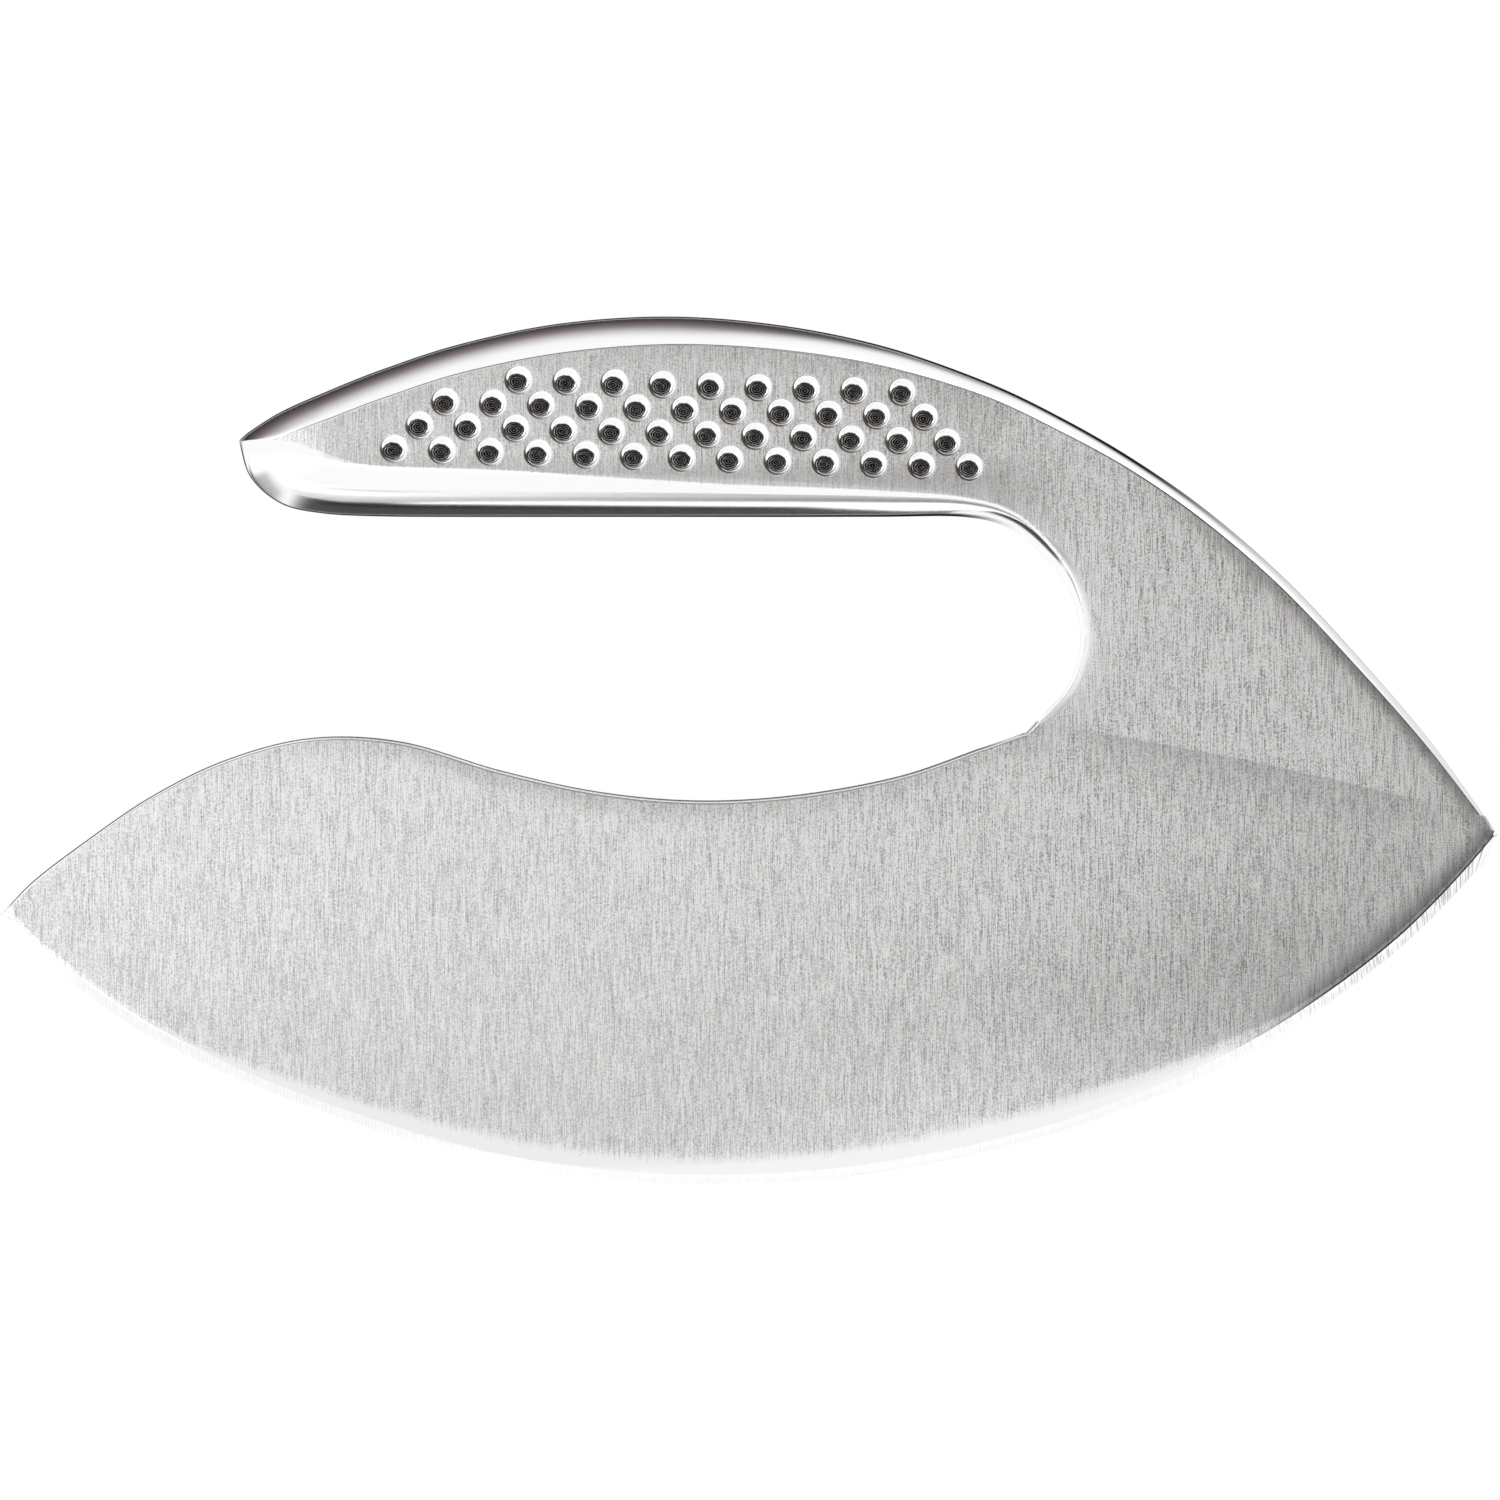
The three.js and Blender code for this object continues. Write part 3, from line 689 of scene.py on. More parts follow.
    def add_rims(self, draft: Draft, outer: Array, inner: Array) -> None:
        """Adds the strips at the seam and at the weld line, and the solid nose's seam face.

        Args:
            draft: the piece being shaped.
            outer: the outer skin's points in each section.
            inner: the inner skin's points in each section.
        """
        ends = (np.stack([outer[-1], inner[-1]]), np.stack([outer[:, 0], inner[:, 0]]),
                np.stack([outer[:, -1], inner[:, -1]]))
        for strip in ends:
            draft.grid(strip)
        tip = np.array([HANDLE_GRIP[0, 0], -HALF_SEAM, HANDLE_GRIP[0, 1]])
        nose = np.stack([tip, outer[0, 0], inner[0, 0], inner[0, -1], outer[0, -1]])
        draft.add(nose, [[0, 1, 2, 3, 4]])

    def add_panel(self, draft: Draft, rows: Array, face: Array) -> None:
        """Adds the flat panel, cut round each dimple, and the dimples in it.

        Args:
            draft: the piece being shaped.
            rows: row numbers of the sections.
            face: the face's points in each section.
        """
        inside = (rows >= self.panel_start) & (rows <= self.panel_end)
        panel = face[inside]
        outline = np.concatenate([panel[:, 0], panel[-1, 1:], panel[-2::-1, -1], panel[0, -2:0:-1]])
        dimples = DimplePattern()
        centres = dimples.centres()
        rings = [dimples.ring(centre, dimples.skirt) for centre in centres]
        points, triangles = perforated(outline[:, [0, 2]], rings)
        gaps = np.linalg.norm(points[:, None] - centres[None], axis=-1)
        on_ring = np.abs(gaps - dimples.skirt) < dimples.ring_margin
        kept = triangles[~on_ring[triangles].all(axis=1).any(axis=1)]
        sheet = np.column_stack([points[:, 0], np.full(len(points), -HALF_WIDTH), points[:, 1]])
        draft.add(rolled(sheet), kept)
        for centre in centres:
            dimples.add(draft, centre)


def perforated(outline: Array, holes: list[Array]) -> tuple[Array, Array]:
    """Triangles of a flat sheet between an outline and the rings in it, rings filled too.

    Args:
        outline: the sheet's outline.
        holes: closed rings inside it.

    Returns:
        The points and the triangles.
    """
    loops = [outline, *holes]
    starts = np.cumsum([0] + [len(loop) for loop in loops])
    edges = [
        (int(start + k), int(start + (k + 1) % len(loop)))
        for start, loop in zip(starts, loops)
        for k in range(len(loop))
    ]
    points = [Vector(point) for point in np.vstack(loops).tolist()]
    result = delaunay_2d_cdt(points, edges, [], 1, TINY, False)
    places, triangles = np.array([tuple(point) for point in result[0]]), np.array(result[2])
    return places, triangles[enclosed(places[triangles].mean(axis=1), outline)]


def enclosed(places: Array, outline: Array) -> Array:
    """Tells which places lie inside an outline.

    A level line from such a place meets the outline an odd number of times on its right side.

    Args:
        places: the places to test.
        outline: the outline's points in order.

    Returns:
        True for each place inside.
    """
    low, high = outline, np.roll(outline, -1, axis=0)
    level = places[:, None, 1]
    crosses = (low[:, 1] > level) != (high[:, 1] > level)
    rise = np.where(low[:, 1] == high[:, 1], 1.0, high[:, 1] - low[:, 1])
    meets = low[:, 0] + (level - low[:, 1]) * (high[:, 0] - low[:, 0]) / rise
    return (crosses & (meets > places[:, None, 0])).sum(axis=1) % 2 == 1


@dataclass(frozen=True)
class DimplePattern:
    """The dimples of the grip: slanting rows that step back and up from the throat."""

    radius: float = 1.36
    depth: float = 0.72
    lip: float = 0.15
    skirt: float = 1.84
    pitch: float = 5.77
    row_shift: float = 2.7
    row_rise: float = 3.0
    row_tilt: float = math.radians(1.8)
    per_row: tuple[int, ...] = (13, 12, 11, 9)
    last_share: Pair = (0.6476, 0.8257)
    around: int = 36
    rings: int = 13
    ring_power: float = 0.85
    ring_margin: float = 0.01

    def centres(self) -> Array:
        """Centres of the dimples: row ends at (-shift, rise) steps, then pitch along the tilt.

        Returns:
            A place along and up for each dimple.
        """
        last = np.array(self.last_share) * (TOOL_LENGTH, TOOL_HEIGHT)
        back = np.array([-math.cos(self.row_tilt), math.sin(self.row_tilt)]) * self.pitch
        step = np.array([-self.row_shift, self.row_rise])
        rows = [
            last + step * row + back * np.arange(count)[:, None]
            for row, count in enumerate(self.per_row)
        ]
        return np.concatenate(rows)

    def ring(self, centre: Array, radius: float) -> Array:
        """Points on a circle round a centre: (r cos a, r sin a)."""
        turn = np.linspace(0, 2 * math.pi, self.around, endpoint=False)
        return centre + radius * np.column_stack([np.cos(turn), np.sin(turn)])

    def sink(self, radius: Array) -> Array:
        """How deep the surface lies: q = depth (1 - (r / radius)^2), softened at the lip.

        The softened value is (q + sqrt(q^2 + lip^2)) / 2, less its value at the skirt.

        Args:
            radius: distances from the dimple's centre.

        Returns:
            The depth at each of them.
        """
        raw = self.depth * (1 - (np.append(radius, self.skirt) / self.radius) ** 2)
        soft = (raw + np.sqrt(raw**2 + self.lip**2)) / 2
        return soft[:-1] - soft[-1]

    def add(self, draft: Draft, centre: Array) -> None:
        """Adds one dimple as rings that shrink to its middle.

        Args:
            draft: the piece being shaped.
            centre: the dimple's centre along and up.
        """
        radius = self.skirt * np.linspace(1, 0, self.rings + 1) ** self.ring_power
        turn = np.linspace(0, 2 * math.pi, self.around + 1)
        local = radius[:, None, None] * np.stack([np.cos(turn), np.sin(turn)], axis=-1)
        depth = np.broadcast_to(-HALF_WIDTH + self.sink(radius)[:, None], local.shape[:2])
        bowl = np.stack([centre[0] + local[..., 0], depth, centre[1] + local[..., 1]], axis=-1)
        draft.grid(rolled(bowl), places=local, slot=1)


@dataclass
class SeamWeld(ToolPiece):
    """The ground weld that joins the two shells along the crown, the nose and the underside."""

    shell: HandleShell
    across: int = 6

    def shape(self, draft: Draft) -> None:
        """Adds a band that follows the shells' edge and is as thick as their wall.

        Args:
            draft: the piece being shaped.
        """
        rows = self.shell.rows()
        hollow_rows = np.maximum(rows, self.shell.nose_solid_end)
        outer = np.concatenate(self.shell.section(rows, 0), axis=1)
        inner = np.concatenate(self.shell.section(hollow_rows, WALL), axis=1)
        tip = np.array([[HANDLE_GRIP[0, 0], -HALF_SEAM, HANDLE_GRIP[0, 1]]])
        outside = np.concatenate([outer[::-1, 0], tip, outer[:, -1]])
        inside = np.concatenate([inner[::-1, 0], inner[:1, 0], inner[:, -1]])
        depth = np.linspace(-1, 1, self.across + 1) * HALF_SEAM
        over, under = self.widened(outside, depth), self.widened(inside, depth)
        draft.grid(over)
        draft.grid(under, turned=True)
        for edge in (0, -1):
            draft.grid(np.stack([over[:, edge], under[:, edge]]))
            draft.grid(np.stack([over[edge], under[edge]]))

    def widened(self, line: Array, depth: Array) -> Array:
        """Carries a line across the middle plane at several depths.

        Args:
            line: the line's points.
            depth: the depths, from the near side to the far one.

        Returns:
            The line's points at each depth.
        """
        band = np.repeat(line[:, None, :], len(depth), axis=1)
        band[..., 1] = depth
        return band


@dataclass
class Blade(ToolPiece):
    """One crescent blade: a flat plate with a convex grind and a bevelled cutting edge."""

    bevel_width: float = 1.1
    bevel_shoulder: float = 1.1
    grind_width: float = 4.0
    back_rounding: float = 0.5
    bevel_limit_shares: Pair = (0.3, 0.8)
    grind_limit_share: float = 0.6
    back_limit_share: float = 0.15
    least_grind_share: float = 0.12
    full_band_share: float = 0.35
    ground_end: Pair = (138.0, 156.0)
    shaded_heel: Pair = (146.0, 162.0)
    shade_width: float = 4.0
    shade_strength: float = 0.72
    shoulder_line: Pair = (0.15, 0.4)
    columns_per_row: int = 22
    bevel_steps: int = 3
    grind_steps: int = 12
    flat_steps: int = 16
    back_steps: int = 7

    def top(self, rows: Array) -> Array:
        """The upper outline: the back's curve, then the weld line, then the heel's short spine.

        Args:
            rows: row numbers of the cutting edge underneath.

        Returns:
            A place along and up for each row number.
        """
        back = read_rows(BLADE_BACK, np.minimum(rows, THROAT_ROW))
        weld_share = np.clip((rows - THROAT_ROW) / (HEEL_ROW - THROAT_ROW), 0, 1)[:, None]
        heel_share = np.clip(rows - HEEL_ROW, 0, 1)[:, None]
        weld = BLADE_THROAT + (BLADE_HEEL - BLADE_THROAT) * weld_share
        weld = weld + (HEEL_CORNER - BLADE_HEEL) * heel_share
        return np.where(rows[:, None] < THROAT_ROW, back, weld)

    def half_thickness(self, distance: Array, grind: Array) -> Array:
        """Half the plate's thickness at a distance d from the edge.

        It rises in a line over the bevel, and then as t - (t - s) (1 - share)^2, where s is half
        the bevel's shoulder and t is half the plate.

        Args:
            distance: distances from the edge.
            grind: the grind's width above each of them.

        Returns:
            Half the thickness at each distance.
        """
        shoulder, plate = self.bevel_shoulder / 2, BLADE_THICKNESS / 2
        share = np.clip((distance - self.bevel_width) / grind, 0, 1)
        ground = plate - (plate - shoulder) * (1 - share) ** 2
        return np.where(distance < self.bevel_width, shoulder * distance / self.bevel_width, ground)

    def shape(self, draft: Draft) -> None:
        """Adds two grids of columns that meet at the edge and along the back.

        Its materials are the face's, the bevel's and the rounded back's.

        Args:
            draft: the piece being shaped.
        """
        rows = np.linspace(0, CORNER_ROW, CORNER_ROW * self.columns_per_row + 1)
        edge, top = read_rows(BLADE_EDGE, rows), self.top(rows)
        height = np.maximum(np.linalg.norm(top - edge, axis=1), TINY)
        up = (top - edge) / height[:, None]
        up[0], up[-1] = up[1], up[-2]
        skew = 1 / np.abs(cross(up, tangents(BLADE_EDGE, rows)))
        share = read_rows(EDGE_SHARES[:, 2:], rows)[:, 0]
        grind = self.grind_width * np.maximum(share, self.least_grind_share)
        welded = (rows >= THROAT_ROW) & (rows <= HEEL_ROW)
        rounding = np.where(welded, 0, np.minimum(self.back_rounding, self.back_limit_share * height))
        heel = smooth_step(*self.shaded_heel, edge[:, 0])
        tip_limit, heel_limit = self.bevel_limit_shares
        bevel_limit = (tip_limit + (heel_limit - tip_limit) * heel) * height
        bevel_top = np.minimum(self.bevel_width * skew, bevel_limit)
        grind_top = np.minimum((self.bevel_width + grind) * skew, self.grind_limit_share * height)
        grind_top = np.maximum(grind_top, bevel_top)
        flat_top = height - rounding
        bevel = self.stretch(np.zeros_like(height), bevel_top, self.bevel_steps)
        ground = self.stretch(bevel_top, grind_top, self.grind_steps)
        flat = self.stretch(grind_top, flat_top, self.flat_steps)
        turn = np.linspace(0, math.pi / 2, self.back_steps + 1)[None, :]
        back = flat_top[:, None] + rounding[:, None] * np.sin(turn)
        along = np.concatenate([[0], np.cumsum(np.linalg.norm(np.diff(edge, axis=0), axis=1))])
        band = smooth_step(0, self.full_band_share, share)
        band = band * (1 - smooth_step(*self.ground_end, edge[:, 0]))
        for way in (-1, 1):
            for slot, levels in enumerate((bevel, ground, flat, back)):
                distance = np.minimum(levels, flat_top[:, None]) / skew[:, None]
                half = self.half_thickness(distance, grind[:, None])
                if slot == 3:
                    half = half * np.cos(turn)
                x = edge[:, :1] + up[:, :1] * levels
                z = edge[:, 1:] + up[:, 1:] * levels
                middle = HALF_WIDTH - BLADE_THICKNESS / 2
                points = np.stack([x, -middle + way * half, z], axis=-1)
                if way < 0:
                    points[..., 1] += (rolled(points) - points)[..., 1] * half * 2 / BLADE_THICKNESS
                places = np.stack(np.broadcast_arrays(along[:, None], distance), axis=-1)
                share_up = np.clip((distance - self.bevel_width) / grind[:, None], 0, 1)
                ground_mark = (1 - share_up) * band[:, None] if slot else share_up * 0 + 1
                # Painted shade: towards the heel, a dark gradient above the bevel's shoulder and a thin
                # dark line at it.
                above = distance - bevel_top[:, None] / skew[:, None]
                fade = 1 - smooth_step(0, self.shade_width, above)
                shade = self.shade_strength * fade**SHADE_POWER
                shade = np.maximum(shade, 1 - smooth_step(*self.shoulder_line, above)) * heel[:, None]
                marks = np.stack(np.broadcast_arrays(ground_mark, shade), axis=-1)
                draft.grid(points, way > 0, places=places, marks=marks, slot=(1, 0, 0, 2)[slot])

    def stretch(self, low: Array, high: Array, steps: int) -> Array:
        """Levels in even steps from low to high, one row of them for each column."""
        return low[:, None] + (high - low)[:, None] * np.linspace(0, 1, steps + 1)[None, :]


@dataclass
class BladeWeld(ToolPiece):
    """The ground-flush weld between a shell and its blade."""

    along: int = 90
    across: int = 6
    end_rounding: float = 0.45
    heel_shade: float = 0.8
    shade_length: float = 6.0

    def shape(self, draft: Draft) -> None:
        """Adds a strip between the shell's end and the blade's top.

        At a distance d from either end it is as thick as the plate times
        sqrt(1 - (1 - d / rounding)^2), so that its ends are round.

        Args:
            draft: the piece being shaped.
        """
        t = (1 - np.cos(np.linspace(0, math.pi, self.along + 1)))[:, None, None] / 2
        s = np.linspace(0, 1, self.across + 1)[None, :, None]
        upper = THROAT_END + (SPINE_END - THROAT_END) * t
        lower = BLADE_THROAT + (BLADE_HEEL - BLADE_THROAT) * t
        flat = lower + (upper - lower) * s
        length = np.linalg.norm(SPINE_END - THROAT_END)
        end = length * np.minimum(t, 1 - t)[..., 0]
        half = BLADE_THICKNESS / 2 * np.sqrt(1 - (1 - np.clip(end / self.end_rounding, 0, 1)) ** 2)
        half = np.broadcast_to(half, flat.shape[:2])
        # The second mark is painted shade, darkest at the heel end.
        marks = np.zeros((*flat.shape[:2], 2))
        marks[..., 1] = self.heel_shade * (1 - smooth_step(0, self.shade_length, length * (1 - t[..., 0])))
        middle = BLADE_THICKNESS / 2 - HALF_WIDTH
        outside = rolled(np.stack([flat[..., 0], middle - half, flat[..., 1]], axis=-1))
        depth = np.maximum(middle + half, outside[..., 1])
        inside = np.stack([flat[..., 0], depth, flat[..., 1]], axis=-1)
        draft.grid(outside, marks=marks)
        draft.grid(inside, turned=True, marks=marks)
        for edge in (0, -1):
            draft.grid(np.stack([outside[:, edge], inside[:, edge]]))


class NodeSheet:
    """Places and joins the nodes of one material or node group."""

    def __init__(self, tree: bpy.types.NodeTree) -> None:
        """Starts an empty sheet on a node tree."""
        self.tree = tree
        self.tree.nodes.clear()

    def node(self, kind: str, inputs: dict[str | int, object] | None = None,
             **settings: object) -> bpy.types.Node:
        """Adds a shader node.

        Args:
            kind: the node's type name without "ShaderNode".
            inputs: values or output sockets for its inputs, by name or number.
            settings: properties of the node.

        Returns:
            The new node.
        """
        made = self.tree.nodes.new(f"ShaderNode{kind}")
        row, column = divmod(len(self.tree.nodes), NODE_COLUMNS)
        made.location = (NODE_SPACING[0] * column, NODE_SPACING[1] * row)
        for name, value in settings.items():
            setattr(made, name, value)
        for socket, value in (inputs or {}).items():
            if isinstance(value, Socket):
                self.tree.links.new(value, made.inputs[socket])
            else:
                made.inputs[socket].default_value = value
        return made

    def math(self, operation: str, *values: object, clamp: bool = False) -> Socket:
        """The result of one sum, product or other operation on numbers or sockets."""
        settings = {"operation": operation, "use_clamp": clamp}
        return self.node("Math", dict(enumerate(values)), **settings).outputs[0]

    def times(self, first: object, second: object, clamp: bool = False) -> Socket:
        """The product of two numbers or sockets."""
        return self.math("MULTIPLY", first, second, clamp=clamp)

    def vector(self, operation: str, *values: object) -> bpy.types.Node:
        """A node with the result of one operation on vectors."""
        return self.node("VectorMath", dict(enumerate(values)), operation=operation)

    def noise(self, place: Socket, scale: float, detail: float, **settings: object) -> Socket:
        """Values of a noise texture round a half."""
        inputs = {"Vector": place, "Scale": scale, "Detail": detail}
        return self.node("TexNoise", inputs, **settings).outputs["Fac"]

    def split(self, vector: Socket) -> list[Socket]:
        """The three parts of a vector."""
        return list(self.node("SeparateXYZ", {0: vector}).outputs)

    def uv(self, title: str) -> Socket:
        """The places of a UV map."""
        return self.node("UVMap", uv_map=title).outputs[0]

    def group(self, name: str, place: Socket) -> list[Socket]:
        """The outputs of a node group, read at a place.

        Args:
            name: the group's name.
            place: the coordinates that it reads.

        Returns:
            Its output sockets in order.
        """
        made = self.node("Group", node_tree=bpy.data.node_groups[name])
        self.tree.links.new(place, made.inputs["Vector"])
        return list(made.outputs)

    def step(self, value: Socket, low: float, high: float) -> Socket:
        """A smooth rise from 0 at low to 1 at high."""
        inputs = {"Value": value, "From Min": low, "From Max": high}
        return self.node("MapRange", inputs, interpolation_type="SMOOTHSTEP").outputs[0]

    def blend(self, share: object, low: object, high: object) -> Socket:
        """A number between low and high, by a share."""
        return self.node("Mix", {0: share, 2: low, 3: high}, data_type="FLOAT").outputs[0]

    def mix_colour(self, share: object, low: object, high: object) -> Socket:
        """A colour between low and high, by a share."""
        low, high = ((*tone, 1) if isinstance(tone, tuple) else tone for tone in (low, high))
        return self.node("Mix", {0: share, 6: low, 7: high}, data_type="RGBA").outputs[2]


def new_material(name: str) -> tuple[Material, NodeSheet]:
    """Starts a material.

    Args:
        name: its name.

    Returns:
        The material and its empty sheet.
    """
    material = bpy.data.materials.new(name)
    material.use_nodes = True
    return material, NodeSheet(material.node_tree)


def node_group(name: str, inputs: dict[str, float], outputs: tuple[str, ...]) -> tuple[
        NodeSheet, bpy.types.Node, bpy.types.Node]:
    """Starts a shader node group with one vector input and number sockets.

    Args:
        name: the group's name.
        inputs: names and default values of its number inputs.
        outputs: names of its number outputs.

    Returns:
        The group's sheet, its input node and its output node.
    """
    group = bpy.data.node_groups.new(name, "ShaderNodeTree")
    group.interface.new_socket("Vector", in_out="INPUT", socket_type="NodeSocketVector")
    for title, value in inputs.items():
        socket = group.interface.new_socket(title, in_out="INPUT", socket_type="NodeSocketFloat")
        socket.default_value = value
    for title in outputs:
        group.interface.new_socket(title, in_out="OUTPUT", socket_type="NodeSocketFloat")
    sheet = NodeSheet(group)
    return sheet, group.nodes.new("NodeGroupInput"), group.nodes.new("NodeGroupOutput")


@dataclass(frozen=True)
class BrushLines:
    """Long, fine lines along Z, with a broad unevenness across them, both round a half.

    Widths and lengths are millimetres, and scales are shares of those or cells to a metre.
    """

    width: float = 0.09
    length: float = 2.4
    depth_scale: float = 40.0
    grain_scale: float = 6500.0
    grain_share: float = 0.4
    streak_scale: float = 0.13

    def build(self) -> None:
        """Builds the node group."""
        inputs = {"Line Width": self.width, "Line Length": self.length}
        sheet, start, end = node_group("brush lines", inputs, ("Lines", "Streaks"))
        vector, width, length = start.outputs[:3]
        across, along = sheet.math("DIVIDE", 1 / MM, width), sheet.math("DIVIDE", 1 / MM, length)
        scale = sheet.node("CombineXYZ", {0: across, 1: self.depth_scale, 2: along}).outputs[0]
        fine = sheet.vector("MULTIPLY", vector, scale).outputs[0]
        grain = sheet.noise(vector, self.grain_scale, detail=0.0)
        lines = sheet.blend(self.grain_share, sheet.noise(fine, scale=1.0, detail=1.0), grain)
        sheet.tree.links.new(lines, end.inputs["Lines"])
        streaks = sheet.noise(fine, self.streak_scale, detail=2.0)
        sheet.tree.links.new(streaks, end.inputs["Streaks"])


@dataclass(frozen=True)
class WeldShade:
    """The soft shade just below the weld line, which sags as a + b x + c x^2 across the arm.

    At a distance d below the line the shade is e^(-d / depth). Lengths are millimetres.
    """

    depth: float = 4.2
    border: Pair = (-0.25, 0.35)
    throat_end: Pair = (125.0, 134.0)
    heel_end: Pair = (178.0, 166.0)

    def build(self) -> None:
        """Builds the node group."""
        sheet, start, end = node_group("weld shade", {"Depth": self.depth}, ("Shade",))
        x, _, z = sheet.split(start.outputs["Vector"])
        along, above = sheet.times(x, 1 / MM), sheet.times(z, 1 / MM)
        bend = sheet.times(sheet.times(along, along), WELD_LINE[2])
        line = sheet.math("ADD", sheet.math("MULTIPLY_ADD", along, WELD_LINE[1], WELD_LINE[0]), bend)
        drop = sheet.math("SUBTRACT", line, above)
        down = sheet.math("DIVIDE", drop, sheet.times(start.outputs["Depth"], -1.0))
        fade = sheet.times(sheet.step(drop, *self.border), sheet.math("EXPONENT", down))
        ends = sheet.times(sheet.step(along, *self.throat_end), sheet.step(along, *self.heel_end))
        sheet.tree.links.new(sheet.times(fade, ends, clamp=True), end.inputs["Shade"])


@dataclass(frozen=True)
class Steel:
    """A steel finish: its brushed tone, its polished tone and how rough each of them is.

    Spans are where an effect starts and where it is full.
    """

    name: str
    brushed: Triple = (0.85, 0.85, 0.845)
    polished: Triple = (0.97, 0.965, 0.965)
    # The colour that the painted dark outline mixes to.
    black: Triple = (0.01, 0.01, 0.01)
    brushed_roughness: float = 0.42
    polished_roughness: float = 0.16
    line_contrast: Pair = (2.3, 3.5)
    contrast_span: Pair = (0.06, 0.15)
    streak_share: float = 0.04
    brightest: float = 1.25
    outline: Pair = (0.81, 0.89)
    bump: float = 0.3
    relief: float = 0.02 * MM

    def start(self) -> tuple[Material, NodeSheet, Socket]:
        """Starts the material with coordinates that follow the drawing.

        Returns:
            The material, its sheet and the coordinates in metres of the drawing.
        """
        material, sheet = new_material(self.name)
        place = sheet.node("TexCoord").outputs["Object"]
        shift = Vector((DRAWING.shift[0], 0, DRAWING.shift[1]))
        back = Matrix.Rotation(-DRAWING.lean, 3, "Y") @ shift
        inputs = {"Vector": place, "Location": -back, "Rotation": (0, -DRAWING.lean, 0)}
        return material, sheet, sheet.node("Mapping", inputs).outputs[0]

    def close(self, sheet: NodeSheet, colour: object, roughness: object, height: object,
              metallic: object = 1.0) -> None:
        """Ends the material with its shader.

        Args:
            sheet: the material's nodes.
            colour: the base colour.
            roughness: the roughness.
            height: the relief that the bump follows.
            metallic: the metallic share; what is left of it is black, a painted dark outline.
        """
        inputs = {"Height": height, "Strength": self.bump, "Distance": self.relief}
        normal = sheet.node("Bump", inputs).outputs[0]
        if metallic != 1.0:
            colour = sheet.mix_colour(metallic, self.black, colour)
        inputs = {"Base Color": colour, "Metallic": metallic, "Roughness": roughness,
                  "Specular IOR Level": 0.0, "Normal": normal}
        shader = sheet.node("BsdfPrincipled", inputs).outputs[0]
        sheet.node("OutputMaterial", {"Surface": shader})

    def brushing(self, sheet: NodeSheet, place: Socket) -> tuple[Socket, Socket]:
        """The brushed colour, lighter on the lines' crests: tone (1 + contrast (v - 1/2)).

        The contrast grows from the points of the blades to the heel.

        Args:
            sheet: the material's nodes.
            place: the coordinates.

        Returns:
            The colour and the lines.
        """
        lines, streaks = sheet.group("brush lines", place)
        contrast = sheet.blend(sheet.step(sheet.split(place)[0], *self.contrast_span), *self.line_contrast)
        both = sheet.blend(self.streak_share, lines, streaks)
        offset = sheet.times(sheet.math("SUBTRACT", both, 0.5), contrast)
        factor = sheet.math("MINIMUM", sheet.math("ADD", offset, 1.0), self.brightest)
        colour = sheet.node("VectorMath", {0: self.brushed, "Scale": factor}, operation="SCALE")
        return colour.outputs[0], lines

    def painted_outline(self, sheet: NodeSheet, strength: object) -> Socket:
        """A painted dark outline: how metallic a polished surface stays, less where it turns away from the
        view, so that it darkens there.

        Args:
            sheet: the material's nodes.
            strength: how strong the painted dark outline is.

        Returns:
            The metallic share.
        """
        facing = sheet.node("LayerWeight", {"Blend": 0.5}).outputs["Facing"]
        away = sheet.times(sheet.step(facing, *self.outline), strength)
        return sheet.math("SUBTRACT", 1.0, away, clamp=True)


@dataclass(frozen=True)
class FaceSteel(Steel):
    """A large face's finish: brushed and polished by its marks, with painted shade from its marks, from its
    place and below the weld line.
    """

    bright: Triple = (0.97, 0.965, 0.965)
    shade: Triple = (0.16, 0.155, 0.15)
    shade_share: float = 0.65
    fray: float = 0.45
    polish_span: Pair = (0.3, 0.62)
    painted_shade_tone_share: float = 0.5
    weld_shade_tone: Triple = (0.3, 0.3, 0.3)
    weld_share: float = 0.42

    def painted_shade_at(self, sheet: NodeSheet, place: Socket) -> Socket:
        """How much painted shade darkens the brushing at each place."""
        raise NotImplementedError

    def surface(self, sheet: NodeSheet, lines: Socket, polish: Socket) -> tuple[object, object]:
        """The height that the bump follows, and how metallic the surface is."""
        return lines, 1.0

    def build(self) -> Material:
        """Builds the material.

        The lines fray the border between the brushed and the polished finish.

        Returns:
            The material.
        """
        material, sheet, place = self.start()
        tone, lines = self.brushing(sheet, place)
        # The second mark, read here as edge, is painted shade.
        mark, edge, _ = sheet.split(sheet.uv("finish"))
        frayed = sheet.times(sheet.math("SUBTRACT", lines, 0.5), self.fray)
        polish = sheet.step(sheet.math("ADD", mark, frayed), *self.polish_span)
        # Painted shade: the brushed tone darkens by place.
        dull = tuple(value * self.painted_shade_tone_share for value in self.brushed)
        tone = sheet.mix_colour(self.painted_shade_at(sheet, place), tone, dull)
        # Painted shade just below the weld line.
        weld = sheet.times(sheet.group("weld shade", place)[0], self.weld_share)
        dark = sheet.mix_colour(weld, tone, self.weld_shade_tone)
        colour = sheet.mix_colour(polish, dark, self.bright)
        # Painted shade where the second mark says.
        colour = sheet.mix_colour(sheet.times(edge, self.shade_share), colour, self.shade)
        rough = sheet.blend(polish, self.brushed_roughness, self.polished_roughness)
        self.close(sheet, colour, rough, *self.surface(sheet, lines, polish))
        return material


